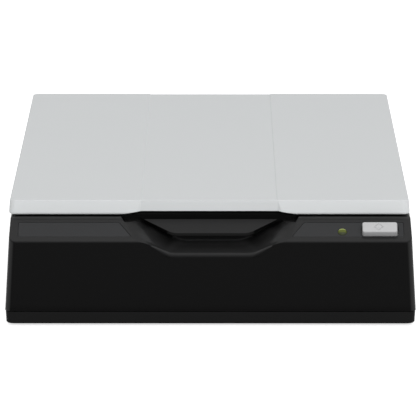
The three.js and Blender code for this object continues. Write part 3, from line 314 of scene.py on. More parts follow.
# Case screws. Four steel screws, cold headed and zinc plated, driven up through the base into the posts of
# the upper case, where they hold the two halves together.
def drawn_metal_group():
    group = effect_group(
        "drawn_metal",
        [
            ("Colour", "NodeSocketColor", (0.5, 0.5, 0.5, 1)),
            ("Roughness", "NodeSocketFloat", 0.3),
            ("Streaks", "NodeSocketVector", (200, 200, 200)),
            ("Depth", "NodeSocketFloat", 0.000004),
            ("Tarnish", "NodeSocketFloat", 0.2),
        ],
        [("Colour", "NodeSocketColor"), ("Roughness", "NodeSocketFloat"), ("Normal", "NodeSocketVector")],
    )
    given = wire(group, "NodeGroupInput").outputs
    place = wire(group, "ShaderNodeTexCoord").outputs["Object"]
    drawn = wire(group, "ShaderNodeVectorMath", {"operation": "MULTIPLY"}, _0=place, _1=given["Streaks"])
    noise = {"Scale": 1, "Detail": 4}
    lines = wire(group, "ShaderNodeTexNoise", noise, Vector=drawn.outputs[0]).outputs["Fac"]
    soft = wire(group, "ShaderNodeBevel", {"samples": 4, "Radius": 0.0002}).outputs["Normal"]
    bump = wire(group, "ShaderNodeBump", {"Strength": 1}, Distance=given["Depth"], Height=lines, Normal=soft)
    cloud = wire(group, "ShaderNodeTexNoise", {"Scale": 130, "Detail": 5}, Vector=place).outputs["Fac"]
    dark = wire(group, "ShaderNodeMath", {"operation": "MULTIPLY"}, _0=cloud, _1=given["Tarnish"])
    keep = wire(group, "ShaderNodeMath", {"operation": "SUBTRACT", 0: 1.1}, _1=dark.outputs[0])
    toned = wire(
        group, "ShaderNodeVectorMath", {"operation": "SCALE"}, _0=given["Colour"], Scale=keep.outputs[0]
    )
    rough = wire(
        group, "ShaderNodeMath", {"operation": "MULTIPLY_ADD", 1: 0.25}, _0=lines, _2=given["Roughness"]
    )
    wire(
        group,
        "NodeGroupOutput",
        Colour=toned.outputs[0],
        Roughness=rough.outputs[0],
        Normal=bump.outputs["Normal"],
    )
    return group


drawn_metal = drawn_metal_group()


def metal(name, colour, roughness, streaks, tarnish=0.2):
    values = {"Colour": (*colour, 1), "Roughness": roughness, "Streaks": streaks, "Tarnish": tarnish}
    return material_from(drawn_metal, name, values, {"Metallic": 1})


screw_zinc = metal("screw_zinc", (0.5, 0.52, 0.55), 0.28, (900, 900, 200))
for screw in ("front_left", "front_right", "rear_left", "rear_right"):
    dress("case_screw_" + screw, screw_zinc)

# Guide rod and clips. A ground steel rod that the carriage runs along. It lies in two saddles of the base
# and is held down by a moulded black clip at each end.
ground_steel = metal("ground_steel", (0.6, 0.6, 0.62), 0.14, (60, 2500, 60), 0.08)
inner_black = moulded("inner_black", (0.012, 0.012, 0.013), 0.55, {"Mottle": 0.2, "Rub": 0.4})
dress("guide_rod", ground_steel)
dress("rod_clip_front", inner_black)
dress("rod_clip_rear", inner_black)

# Belt drive. Pressed steel plates carry the axles; gear and pulleys are white acetal, the pinion is brass
# and the belt black rubber over cord.
pressed_steel = metal("pressed_steel", (0.55, 0.56, 0.58), 0.3, (40, 900, 900))
white_acetal = moulded("white_acetal", (0.72, 0.69, 0.6), 0.38, {"Mottle": 0.05})
pinion_brass = metal("pinion_brass", (0.7, 0.5, 0.22), 0.25, (700, 700, 90))
for plate in ("drive_plate", "idler_plate"):
    dress(plate, pressed_steel)
for wheel in ("drive_gear", "idler_pulley"):
    dress(wheel, white_acetal)
dress("motor_pinion", pinion_brass)
dress("drive_belt", rubber_black)

# Stepper motor. A drawn steel can with a crown, zinc plated. It stands on the drive plate and turns the
# brass pinion.
can_zinc = metal("can_zinc", (0.48, 0.5, 0.52), 0.34, (90, 90, 1600))
soft_edged("motor_can", "stepper_motor", 0.0006, can_zinc, "case", 3)


# Boards. Glass fibre under a green solder mask, with the paler lines of the copper tracks below it. The
# large controller and the cable's connector are soldered to the main one.
def printed_board_group():
    group = effect_group(
        "printed_board",
        [
            ("Colour", "NodeSocketColor", (0.01, 0.09, 0.03, 1)),
            ("Roughness", "NodeSocketFloat", 0.3),
            ("Track Colour", "NodeSocketColor", (0.03, 0.2, 0.06, 1)),
        ],
        [("Colour", "NodeSocketColor"), ("Roughness", "NodeSocketFloat"), ("Normal", "NodeSocketVector")],
    )
    given = wire(group, "NodeGroupInput").outputs
    place = wire(group, "ShaderNodeTexCoord").outputs["Object"]
    tracks = wire(
        group,
        "ShaderNodeTexBrick",
        {"Scale": 220, "Mortar Size": 0.05, "Mortar Smooth": 0.1, "offset": 0.37, "offset_frequency": 3},
        Vector=place,
    ).outputs["Fac"]
    holes = wire(group, "ShaderNodeTexVoronoi", {"Scale": 300}, Vector=place).outputs["Distance"]
    pads = wire(group, "ShaderNodeMath", {"operation": "LESS_THAN", 1: 0.16}, _0=holes).outputs[0]
    copper = wire(group, "ShaderNodeMath", {"operation": "MAXIMUM"}, _0=tracks, _1=pads).outputs[0]
    colour = wire(
        group,
        "ShaderNodeMix",
        {"data_type": "RGBA"},
        _0=copper,
        _6=given["Colour"],
        _7=given["Track Colour"],
    ).outputs[2]
    bump = wire(group, "ShaderNodeBump", {"Strength": 1, "Distance": 0.00003}, Height=copper)
    rough = wire(
        group, "ShaderNodeMath", {"operation": "MULTIPLY_ADD", 1: 0.08}, _0=pads, _2=given["Roughness"]
    )
    wire(
        group,
        "NodeGroupOutput",
        Colour=colour,
        Roughness=rough.outputs[0],
        Normal=bump.outputs["Normal"],
    )
    return group


board_green = material_from(
    printed_board_group(),
    "board_green",
    {"Colour": (0.01, 0.085, 0.03, 1), "Roughness": 0.3, "Track Colour": (0.03, 0.17, 0.06, 1)},
    {},
)
chip_black = moulded("chip_black", (0.01, 0.01, 0.011), 0.5, {"Grain Size": 3000, "Mottle": 0.2})
for board in ("main_board", "panel_board", "sensor_board"):
    dress(board, board_green)
dress("controller_chip", chip_black)
dress("cable_connector", white_acetal)

# Sockets. The data socket is a nickel plated shell with a tongue, the power socket a black body with a
# centre pin; both are soldered to the board and show through the rear wall.
socket_nickel = metal("socket_nickel", (0.62, 0.6, 0.56), 0.22, (300, 40, 900), 0.12)
data_socket = soft_edged("data_socket", "usb_socket", 0.0002, socket_nickel, "case")
data_socket.data.materials.append(chip_black)
shell_low, shell_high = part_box("usb_socket")
shell_middle = (shell_low.x + shell_high.x) / 2
shell_back = 0.001
tongue_reach = 0.003
tongue_low = 0.0113
tongue_high = 0.0147
power_socket = soft_edged("power_inlet", "power_socket", 0.0002, chip_black, "case")
power_socket.data.materials.append(socket_nickel)
inlet_low, inlet_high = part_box("power_socket")
pin_centre = Vector(((inlet_low.x + inlet_high.x) / 2, (inlet_low.z + inlet_high.z) / 2))
contact_reach = 0.0011


def on_tongue(point):
    in_mouth = point.y > shell_low.y + shell_back and tongue_low < point.z < tongue_high
    return in_mouth and abs(point.x - shell_middle) < tongue_reach


def on_pin(point):
    return (point.xz - pin_centre).length < contact_reach


for socket, on_part in ((data_socket, on_tongue), (power_socket, on_pin)):
    for face in socket.data.polygons:
        if all(on_part(socket.data.vertices[index].co) for index in face.vertices):
            face.material_index = 1

# Flat cable. White laminated ribbon that lies along the floor and rolls back on itself to the carriage.
ribbon_white = moulded("ribbon_white", (0.66, 0.68, 0.7), 0.35, {"Grain Size": 900, "Mottle": 0.06, "Rub": 0})
cable_low, cable_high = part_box("flat_cable")
cable_middle = (cable_low.z + cable_high.z) / 2
cable_turn = -0.02


def all_of(bm):
    return bm.verts[:] + bm.edges[:] + bm.faces[:]


def cable_part(name, wanted):
    bm = solid_of("flat_cable")
    cut = bmesh.ops.bisect_plane(
        bm, geom=all_of(bm), dist=0.00001, plane_co=(0, cable_turn, 0), plane_no=(0, 1, 0)
    )
    seam = [part for part in cut["geom_cut"] if isinstance(part, bmesh.types.BMEdge)]
    bmesh.ops.split_edges(bm, edges=seam)
    spare = [face for face in bm.faces if not wanted(face.calc_center_median())]
    bmesh.ops.delete(bm, geom=spare, context="FACES")
    bmesh.ops.holes_fill(bm, edges=bm.edges, sides=0)
    piece = finished(name, bm, ribbon_white, None, "flat_cable", weighted=False)
    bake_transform(piece)


cable_part(
    "cable_floor_run",
    lambda centre: centre.y > cable_turn and centre.z < cable_middle,
)
cable_part("cable_bend", lambda centre: centre.y < cable_turn)
cable_part(
    "cable_top_run",
    lambda centre: centre.y > cable_turn and centre.z > cable_middle,
)

# Sensor carriage. A black moulded tray that carries the sensor bar. It runs on a sintered bronze bush and
# an acetal slider, and an acetal clamp ties it to the belt.
soft_edged("carriage_body", "carriage_tray", 0.0003, inner_black, "carriage")
sintered_bronze = metal("sintered_bronze", (0.5, 0.33, 0.16), 0.45, (1500, 1500, 1500), 0.35)
dress("rod_bush", sintered_bronze)
dress("rail_slider", white_acetal)
dress("belt_clamp", white_acetal)

# Contact sensor bar. A black housing with a glass strip on top, a light guide and a rod lens array below
# it, pressed to the platen by two leaf springs.
bar_black = moulded("bar_black", (0.009, 0.009, 0.01), 0.42, {"Mottle": 0.15, "Rub": 0.35})
soft_edged("sensor_bar", "sensor_housing", 0.0002, bar_black, "carriage")
strip_glass = moulded(
    "strip_glass",
    (0.1, 0.13, 0.13),
    0.05,
    {"Grain Depth": 0, "Mottle": 0.02, "Rub": 0},
    Transmission_Weight=1,
    IOR=1.5,
)
guide_clear = moulded(
    "guide_clear",
    (0.85, 0.95, 0.8),
    0.12,
    {"Grain Depth": 0, "Mottle": 0.02, "Rub": 0},
    Transmission_Weight=0.6,
    IOR=1.49,
)
lens_dark = moulded("lens_dark", (0.03, 0.02, 0.03), 0.2, {"Grain Size": 2500, "Grain Depth": 0.00004})
dress("sensor_window", strip_glass)
dress("light_guide", guide_clear)
dress("lens_array", lens_dark)
spring_steel = metal("spring_steel", (0.55, 0.53, 0.5), 0.2, (900, 30, 900))
dress("sensor_spring_left", spring_steel)
dress("sensor_spring_right", spring_steel)

# Push switch and light chip. Both are soldered to the small board behind the panel. The switch has a zinc
# plated shell and a black plunger, which moves with the key.
dress("switch_body", screw_zinc)
dress("switch_plunger", inner_black)
chip_white = moulded("chip_white", (0.75, 0.75, 0.6), 0.4)
dress("light_chip", chip_white)

# Upper case. One black ABS moulding: the drafted walls, the deck round the glass, the panel slope and the
# finger scoop, whose rim melts into the slope. The slope has a clear coat, and its paler tone is a painted
# sheen that stands in for the light from above; the walls are matt. The hinge lugs and the step for the lid
# are along the rear.
wall_draft = math.tan(math.radians(3.2))
seam_height = 0.00525
seam_gap = 0.0003
corner_radius = 0.0025
shell_wall = 0.002
deck_height = 0.03705
deck_under = deck_height - shell_wall
ridge_height = 0.0302
slope_turn = math.radians(32.5)
ridge_front = -half_depth + (ridge_height - seam_height) * wall_draft
slope_back = ridge_front + (deck_height - ridge_height) / math.tan(slope_turn)
panel_frame = Matrix.Translation((0, ridge_front, ridge_height)) @ Matrix.Rotation(slope_turn, 4, "X")
panel_normal = Vector((0, -math.sin(slope_turn), math.cos(slope_turn)))
overrun = 0.001
scoop_centre = 0.0004

# Where the coat, the painted light and the painted shade change, each as a span from no effect to the full
# one: first by the way that the surface faces, then by its place. The slope's paler tone is a painted sheen,
# the scoop and the deck's edge get painted light, and the foot of the walls gets painted shade.
painted_sheen_facing = (0.68, 0.98)
level_facing = (0.25, 0.03)
corner_facing = (0.02, 0.25)
rim_facing = (-0.93, -0.65)
corner_shine = 0.8
rim_shine = 0.25
scoop_reach_squared = (0.0013, 0.001)
scoop_depth = (-0.1095, -0.1035)
scoop_height = (0.034, 0.032)
side_gain = 1.6
deck_edge_depth = (-0.104, -0.1046)
deck_edge_height = (0.0364, 0.037)
foot_height = (0.0082, 0.0056)


def painted_slope_light_group():
    group = effect_group(
        "painted_slope_light",
        [
            ("Wall Colour", "NodeSocketColor", (0.01, 0.01, 0.01, 1)),
            ("Painted Sheen Colour", "NodeSocketColor", (0.03, 0.03, 0.03, 1)),
            ("Shine", "NodeSocketFloat", 0.5),
            ("Scoop Painted Light", "NodeSocketFloat", 0),
            ("Deck Edge Painted Light", "NodeSocketFloat", 0),
            ("Foot Shade", "NodeSocketFloat", 0),
        ],
        [("Colour", "NodeSocketColor"), ("Coat", "NodeSocketFloat")],
    )
    given = wire(group, "NodeGroupInput").outputs
    read = wire(group, "ShaderNodeTexCoord").outputs
    facing = read["Normal"]
    place = wire(group, "ShaderNodeSeparateXYZ", _0=read["Object"]).outputs

    def share(value, span):
        ramp = {"interpolation_type": "SMOOTHSTEP", "From Min": span[0], "From Max": span[1]}
        return wire(group, "ShaderNodeMapRange", ramp, Value=value).outputs[0]

    def rest(value):
        return wire(group, "ShaderNodeMath", {"operation": "SUBTRACT", 0: 1}, _1=value).outputs[0]

    def times(first, second):
        return wire(group, "ShaderNodeMath", {"operation": "MULTIPLY"}, _0=first, _1=second).outputs[0]

    def plus(first, second):
        return wire(group, "ShaderNodeMath", {"operation": "ADD"}, _0=first, _1=second).outputs[0]

    def scaled(value, factor):
        return wire(group, "ShaderNodeMath", {"operation": "MULTIPLY", 1: factor}, _0=value).outputs[0]

    # Painted sheen: faces turned like the slope take the paler colour, faces turned sideways keep the wall's
    turned_up = {"operation": "DOT_PRODUCT", 1: tuple(panel_normal)}
    toward = wire(group, "ShaderNodeVectorMath", turned_up, _0=facing).outputs["Value"]
    axes = wire(group, "ShaderNodeSeparateXYZ", _0=facing).outputs
    sideways = times(axes["X"], axes["X"])
    level = share(sideways, level_facing)
    blend = wire(
        group,
        "ShaderNodeMix",
        {"data_type": "RGBA"},
        _0=times(share(toward, painted_sheen_facing), level),
        _6=given["Wall Colour"],
        _7=given["Painted Sheen Colour"],
    )
    corner = times(share(sideways, corner_facing), rest(sideways))
    rim = share(axes["Y"], rim_facing)
    coat = times(plus(scaled(corner, corner_shine), scaled(rim, rim_shine)), given["Shine"])
    # Painted light in the scoop, most on its steep sides, and along the deck's edge under the lid; painted
    # shade towards the foot of the walls
    steep = times(rest(level), share(times(place["X"], place["X"]), scoop_reach_squared))
    deep = plus(scaled(steep, side_gain), share(place["Y"], scoop_depth))
    scoop = times(deep, share(place["Z"], scoop_height))
    deck_edge = times(share(place["Y"], deck_edge_depth), share(place["Z"], deck_edge_height))
    lift = plus(times(scoop, given["Scoop Painted Light"]), times(deck_edge, given["Deck Edge Painted Light"]))
    kept = rest(times(share(place["Z"], foot_height), given["Foot Shade"]))
    lit = wire(
        group, "ShaderNodeVectorMath", {"operation": "SCALE"}, _0=blend.outputs[2], Scale=plus(kept, lift)
    )
    wire(group, "NodeGroupOutput", Colour=lit.outputs[0], Coat=coat)
    return group


painted_slope_light = painted_slope_light_group()


# A material whose colour is a dark wall tone, mixed with a paler painted sheen tone where a face turns like
# the slope
def sheen_painted_material(name, wall_tone, painted_sheen_tone, shine, roughness, values, lifts=(), **fixed):
    material = moulded(name, (wall_tone,) * 3, roughness, values, **fixed)
    tree = material.node_tree
    skin = next(node for node in tree.nodes if node.type == "GROUP")
    sheen = wire(tree, "ShaderNodeGroup", {"node_tree": painted_slope_light})
    sheen.inputs["Wall Colour"].default_value = (wall_tone, wall_tone, wall_tone * 1.01, 1)
    sheen.inputs["Painted Sheen Colour"].default_value = (painted_sheen_tone, painted_sheen_tone, painted_sheen_tone * 1.01, 1)
    sheen.inputs["Shine"].default_value = shine
    for lift, share in dict(lifts).items():
        sheen.inputs[lift].default_value = share
    tree.links.new(sheen.outputs["Colour"], skin.inputs["Colour"])
    if shine:
        tree.links.new(sheen.outputs["Coat"], tree.nodes["Principled BSDF"].inputs["Coat Weight"])
    return material


# The case's painted sheen, painted light in the scoop and at the deck's edge, and painted shade at the foot
# of its walls
case_black = sheen_painted_material(
    "case_black",
    0.0033,
    0.0185,
    0.5,
    0.4,
    {"Mottle": 0.1, "Rub": 0.5},
    {"Scoop Painted Light": 1.0, "Deck Edge Painted Light": 1.5, "Foot Shade": 0.45},
    Specular_IOR_Level=0.035,
    Coat_Roughness=0.12,
)


def sliced(bm, point, normal):
    cut = bmesh.ops.bisect_plane(
        bm, geom=all_of(bm), plane_co=point, plane_no=normal, clear_outer=True, dist=0.0000001
    )
    rim = [part for part in cut["geom_cut"] if isinstance(part, bmesh.types.BMEdge)]
    bmesh.ops.edgeloop_fill(bm, edges=rim)


def rounded(bm, radius, segments, chosen):
    bmesh.ops.bevel(
        bm,
        geom=[edge for edge in bm.edges if chosen(edge)],
        offset=radius,
        offset_type="OFFSET",
        segments=segments,
        profile=0.5,
        affect="EDGES",
        material=-1,
    )


def upright(edge):
    run = edge.verts[1].co - edge.verts[0].co
    return abs(run.normalized().z) > 0.9


def block(low, high):
    bm = bmesh.new()
    size = Vector(high) - Vector(low)
    middle = (Vector(high) + Vector(low)) / 2
    place = Matrix.Translation(middle) @ Matrix.Diagonal((*size, 1))
    bmesh.ops.create_cube(bm, size=1, matrix=place)
    return bm


def drafted_body(inset, low, high, corner):
    bm = bmesh.new()
    bmesh.ops.create_cube(bm, size=2)
    for vert in bm.verts:
        height = low if vert.co.z < 0 else high
        drawn_in = inset + (height - seam_height) * wall_draft
        across = math.copysign(half_width - drawn_in, vert.co.x)
        along = math.copysign(half_depth - drawn_in, vert.co.y)
        vert.co = (across, along, height)
    rounded(bm, corner, 8, upright)
    return bm


# The hollow of the scoop. Its floor falls to the front and its sides run out flat towards the slope.
scoop_front = -half_depth + 0.0007
first_row = 0.0017
scoop_end = -0.1011
scoop_floor = 0.0259
floor_rise = 0.0018
floor_front_half = 0.0138
floor_end_half = 0.0085
ridge_mouth_half = 0.0253
low_mouth_half = 0.0276
high_mouth_half = 0.0312
flare = 0.42
flare_end = 0.28
floor_ease = 0.2
floor_share = 0.2
beyond = 0.05


def eased_ramp(share):
    steep = 1 / (1 - floor_ease / 2 - flare * (1 - flare_end) / 2)
    if share < floor_ease:
        return steep * share * share / (2 * floor_ease)
    straight = steep * (min(share, 1 - flare) - floor_ease / 2)
    if share < 1 - flare:
        return straight
    run = min(share, 1) - (1 - flare)
    curved = steep * (run - (1 - flare_end) * run * run / (2 * flare))
    return straight + curved + steep * flare_end * max(share - 1, 0)


def spread(value, low, high):
    return min(max((value - low) / (high - low), 0), 1)


def scoop_form(margin, columns=40, rows=20):
    bm = bmesh.new()
    bmesh.ops.create_grid(bm, x_segments=columns, y_segments=rows, size=1)
    second = ridge_front + first_row
    for vert in bm.verts:
        sideways, row = vert.co.x, round((vert.co.y + 1) / 2 * rows)
        if row == 0:
            along = scoop_front
        elif row < rows:
            along = second + (slope_back - second) * (row - 1) / (rows - 2)
        else:
            along = scoop_end + margin
        risen = (min(along, slope_back) - ridge_front) / (slope_back - ridge_front)
        behind = spread(along, scoop_front, scoop_end)
        corner = ridge_mouth_half + (low_mouth_half - ridge_mouth_half) * spread(along, ridge_front, second)
        mouth_half = corner + (high_mouth_half - low_mouth_half) * max(risen, 0) + margin
        floor_half = floor_front_half + (floor_end_half - floor_front_half) * behind
        low = scoop_floor + floor_rise * behind - margin
        top = ridge_height + (deck_height - ridge_height) * risen - margin
        if abs(sideways) < floor_share:
            across = floor_half * abs(sideways) / floor_share
            height = low
        else:
            share = (abs(sideways) - floor_share) / (1 - floor_share) * (1 + beyond)
            across = floor_half + (mouth_half - floor_half) * share
            height = low + (top - low) * eased_ramp(share)
        vert.co = (scoop_centre + math.copysign(across, sideways), along, height)
    risen = bmesh.ops.extrude_face_region(bm, geom=bm.faces[:])
    for part in risen["geom"]:
        if isinstance(part, bmesh.types.BMVert):
            part.co.z = deck_height + 3 * overrun
    bmesh.ops.recalc_face_normals(bm, faces=bm.faces)
    return bm


def evaluated_mesh(obj):
    graph = bpy.context.evaluated_depsgraph_get()
    return bpy.data.meshes.new_from_object(obj.evaluated_get(graph))


def carved(base, *tools, operation="DIFFERENCE"):
    shell = bpy.data.objects.new("carving_base", bpy.data.meshes.new("carving_base"))
    base.to_mesh(shell.data)
    base.free()
    scene.collection.objects.link(shell)
    for tool in tools:
        cutter = bpy.data.objects.new("carving_tool", bpy.data.meshes.new("carving_tool"))
        bmesh.ops.recalc_face_normals(tool, faces=tool.faces)
        tool.to_mesh(cutter.data)
        tool.free()
        scene.collection.objects.link(cutter)
        step = shell.modifiers.new("carve", "BOOLEAN")
        step.object = cutter
        step.solver = "EXACT"
        step.operation = operation
        result = evaluated_mesh(shell)
        shell.modifiers.clear()
        shell.data = result
        bpy.data.objects.remove(cutter)
    bm = bmesh.new()
    bm.from_mesh(shell.data)
    bpy.data.objects.remove(shell)
    bmesh.ops.remove_doubles(bm, verts=bm.verts, dist=0.0000005)
    return bm


def eased(bm, widest, weigh, segments=6):
    layer = bm.edges.layers.float.new("bevel_weight_edge")
    for edge in bm.edges:
        if len(edge.link_faces) == 2:
            edge[layer] = weigh(edge) / widest
    mesh = bpy.data.meshes.new("easing")
    bm.to_mesh(mesh)
    bm.free()
    holder = bpy.data.objects.new("easing", mesh)
    scene.collection.objects.link(holder)
    bevel = holder.modifiers.new("ease", "BEVEL")
    bevel.width = widest
    bevel.segments = segments
    bevel.limit_method = "WEIGHT"
    bevel.use_clamp_overlap = False
    result = evaluated_mesh(holder)
    bpy.data.objects.remove(holder)
    out = bmesh.new()
    out.from_mesh(result)
    return out


edge_round = 0.0005
rim_round = 0.0015
rim_thin = 0.0002
rim_top = 0.0288
rim_run = 0.0025
scoop_half = 0.0325
hair = 0.0001


def outer_edge(edge):
    first, second = (face.normal for face in edge.link_faces)
    level = min(first.z, second.z) > -0.5
    return level and first.angle(second) > math.radians(25) and not upright(edge)


def in_scoop(face):
    middle = face.calc_center_median()
    return abs(middle.x) < scoop_half and middle.y > ridge_front - hair and face.normal.z > 0.4


def rim_radius(edge):
    first, second = edge.link_faces
    middle = (edge.verts[0].co + edge.verts[1].co) / 2
    if in_scoop(first) == in_scoop(second) or middle.z > rim_top or middle.z < scoop_floor - hair:
        return 0
    if min(first.normal.y, second.normal.y) > -0.9:
        return 0
    return rim_thin + (rim_round - rim_thin) * spread(rim_top - middle.z, 0, rim_run)


outside = drafted_body(0, seam_height + seam_gap, deck_height, corner_radius)
sliced(outside, (0, ridge_front, ridge_height), panel_normal)
rounded(outside, edge_round, 4, outer_edge)
outside = carved(outside, scoop_form(0))

# The room inside, less the walls of the scoop, the hinge blocks and the wall behind the rear step
hinge_back = 0.112635
hinge_height = 0.0346
hinge_places = (-0.0524, 0.0516)
lug_half = 0.0093
lug_front = hinge_back - 0.0062
lug_foot = hinge_height - 0.0054
step_back = hinge_back + 0.0017
step_height = hinge_height - 0.0042
past_rear = half_depth + overrun
room_corner = 0.001
room = drafted_body(shell_wall, seam_height - overrun, deck_under, room_corner)
sliced(room, panel_frame @ Vector((0, 0, -shell_wall)), panel_normal)
hinge_lugs = [
    block((x - lug_half, lug_front, lug_foot), (x + lug_half, step_back, deck_height)) for x in hinge_places
]
rear_wall = block(
    (-half_width, step_back - shell_wall, step_height - shell_wall), (half_width, past_rear, deck_height)
)
room = carved(room, scoop_form(shell_wall, 24, 12), rear_wall, *hinge_lugs)

# What is cut out of the deck: the notch for the grip, the window over the page, the seat of the reference
# strip, the step for the lid and the slots for its hinge barrels
above_deck = deck_height + overrun
notch_centre = -0.0002
notch_half = 0.0302
notch_flare = 0.0021
notch_floor = 0.0355
notch_front = slope_back - 0.006
notch = block(
    (notch_centre - notch_half, notch_front, notch_floor), (notch_centre + notch_half, scoop_end, above_deck)
)
for vert in notch.verts:
    if vert.co.z > notch_floor + overrun:
        vert.co.x += math.copysign(notch_flare, vert.co.x)
window_half = 0.055
window_front = -0.086
window_back = 0.067
window_corner = 0.0008
window = block((-window_half, window_front, deck_under - overrun), (window_half, window_back, above_deck))
rounded(window, window_corner, 4, upright)
seat_half = window_half + 0.0015
seat_back = 0.0753
seat_depth = 0.0007
strip_seat = block(
    (-seat_half, window_back - overrun, deck_under - overrun), (seat_half, seat_back, deck_under + seat_depth)
)
beside = half_width + overrun
rear_step = block((-beside, step_back, step_height), (beside, past_rear, above_deck))
slot_half = 0.0043
slot_room = 0.003
slot_front = hinge_back - slot_room
slot_foot = hinge_height - slot_room
hinge_slots = [
    block((x - slot_half, slot_front, slot_foot), (x + slot_half, past_rear, above_deck))
    for x in hinge_places
]


def round_bar(radius, low, high, sides, turn=Matrix()):
    bm = bmesh.new()
    middle = Matrix.Translation((0, 0, (low + high) / 2))
    bmesh.ops.create_cone(
        bm,
        cap_ends=True,
        segments=sides,
        radius1=radius,
        radius2=radius,
        depth=high - low,
        matrix=turn @ middle,
    )
    return bm


socket_gap = 0.0003
socket_corner = 0.0005


def endways(edge):
    run = edge.verts[1].co - edge.verts[0].co
    return abs(run.normalized().y) > 0.9


def socket_hole(node):
    low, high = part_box(node)
    hole = block(
        (low.x - socket_gap, half_depth - 4 * shell_wall, low.z - socket_gap),
        (high.x + socket_gap, past_rear, high.z + socket_gap),
    )
    rounded(hole, socket_corner, 3, endways)
    return hole


film_right = 0.0681
film_left = 0.0678
film_foot = 0.0026
film_head = 0.00985
film_corner = 0.0005
film_margin = 0.0015
mouth_spread = 0.0077
film_thickness = 0.0004
film_gap = 0.0001


def film_form(side, grow, low, high):
    # The slanted inner end of the film follows the rim of the scoop
    reach = (film_right if side > 0 else film_left) + grow
    foot = film_foot - grow
    head = film_head + grow

    def inner(up):
        share = up * math.sin(slope_turn) / (deck_height - ridge_height)
        return ridge_mouth_half + share * mouth_spread + film_margin - grow

    bm = bmesh.new()
    outline = [
        (side * reach, foot),
        (side * reach, head),
        (scoop_centre + side * inner(head), head),
        (scoop_centre + side * inner(foot), foot),
    ]
    base = bm.faces.new([bm.verts.new((x, y, low)) for x, y in outline])
    risen = bmesh.ops.extrude_face_region(bm, geom=[base])
    tops = [part for part in risen["geom"] if isinstance(part, bmesh.types.BMVert)]
    bmesh.ops.translate(bm, vec=(0, 0, high - low), verts=tops)
    bmesh.ops.recalc_face_normals(bm, faces=bm.faces)
    rounded(bm, film_corner + grow, 4, upright)
    return bm


def on_panel(bm):
    bmesh.ops.transform(bm, matrix=panel_frame, verts=bm.verts)
    return bm


key_across = 0.0597
key_up = 0.00565
key_width = 0.0124
key_length = 0.0051
key_gap = 0.00028
key_hole_aside = 0.0001
hole_corner = 0.0011
hole_foot = -0.005
hole_head = 0.002


def key_form(grow, low, high, corner, aside=0):
    bm = block(
        (key_across + aside - key_width / 2 - grow, key_up - key_length / 2 - grow, low),
        (key_across + aside + key_width / 2 + grow, key_up + key_length / 2 + grow, high),
    )
    rounded(bm, corner, 5, upright)
    return bm


light_across = 0.0465
light_up = 0.0049
light_radius = 0.0015
light_gap = 0.00015
light_place = Matrix.Translation((light_across, light_up, 0))
film_recess = [
    on_panel(film_form(side, film_gap, -film_thickness - film_gap, overrun)) for side in (-1, 1)
]
panel_holes = [
    on_panel(key_form(key_gap, hole_foot, hole_head, hole_corner, key_hole_aside)),
    on_panel(round_bar(light_radius + light_gap, hole_foot, hole_head, 32, light_place)),
]
pin_radius = 0.00125
pin_reach = 0.075
hinge_line = Matrix.Translation((0, hinge_back, hinge_height)) @ Matrix.Rotation(math.pi / 2, 4, "Y")
pin_bore = round_bar(pin_radius, -pin_reach, pin_reach, 24, hinge_line)
shell = carved(
    outside,
    room,
    notch,
    window,
    strip_seat,
    rear_step,
    *hinge_slots,
    pin_bore,
    socket_hole("usb_socket"),
    socket_hole("power_socket"),
    *film_recess,
    *panel_holes,
)
shell = eased(shell, rim_round, rim_radius)
finished("upper_shell", shell, case_black, "case", "upper_case", smooth=30)

# Control panel films. Two satin films, laid flush in shallow recesses on either side of the scoop. The
# right one is punched for the key and the light.
film_grey = moulded(
    "film_grey",
    (0.0285, 0.029, 0.0302),
    0.45,
    {"Grain Size": 2600, "Mottle": 0.05, "Rub": 0.1, "Rub Width": 0.0002},
    Specular_IOR_Level=0.1,
)
film_edge = 0.00012
film_punched = 0.0001


def above(height):
    return lambda edge: min(vert.co.z for vert in edge.verts) > height - 0.00001


left_film = film_form(-1, 0, -film_thickness, 0)
rounded(left_film, film_edge, 2, above(0))
finished("left_film", on_panel(left_film), film_grey, "case", "panel_film_left")
right_film = film_form(1, 0, -film_thickness, 0)
rounded(right_film, film_edge, 2, above(0))
right_film = carved(
    right_film,
    key_form(key_gap, -hole_head, hole_head, hole_corner, key_hole_aside),
    round_bar(light_radius + film_punched, -hole_head, hole_head, 32, light_place),
)
finished("right_film", on_panel(right_film), film_grey, "case", "panel_film_right")

# Scan key. A light grey ABS cap with softened edges and a fine diamond groove, on a flange and a stem
# behind the panel. Its top is painted paler than its sides, a painted light and shade by the way each face
# turns.
key_grey = sheen_painted_material("key_grey", 0.33, 0.47, 0, 0.42, {"Mottle": 0.03, "Rub": 0.2}, Specular_IOR_Level=0.3)
key_top = 0.0019
flange_top = -0.0023
flange_foot = -0.0033
flange_reach = 0.0008
stem_foot = -0.0045
stem_radius = 0.0012
key_corner = 0.0008
key_edge = 0.0004
groove_half = 0.0017
groove_width = 0.00022
groove_depth = 0.00008
groove_aside = -0.0004
cap = key_form(0, flange_foot, key_top, key_corner)
rounded(cap, key_edge, 4, above(key_top))
mark_place = Matrix.Translation((key_across + groove_aside, key_up, 0))
ring = round_bar(groove_half, key_top - groove_depth, key_top + overrun, 4, mark_place)
core = round_bar(groove_half - groove_width, key_top - 2 * groove_depth, key_top + 2 * overrun, 4, mark_place)
cap = carved(cap, carved(ring, core))
flange = key_form(flange_reach, flange_foot, flange_top, key_corner)
stem_place = Matrix.Translation((key_across, key_up, 0))
stem = round_bar(stem_radius, stem_foot, flange_foot + hair, 24, stem_place)
cap = carved(cap, flange, stem, operation="UNION")
finished("scan_key", on_panel(cap), key_grey, "scan_button", "scan_button")

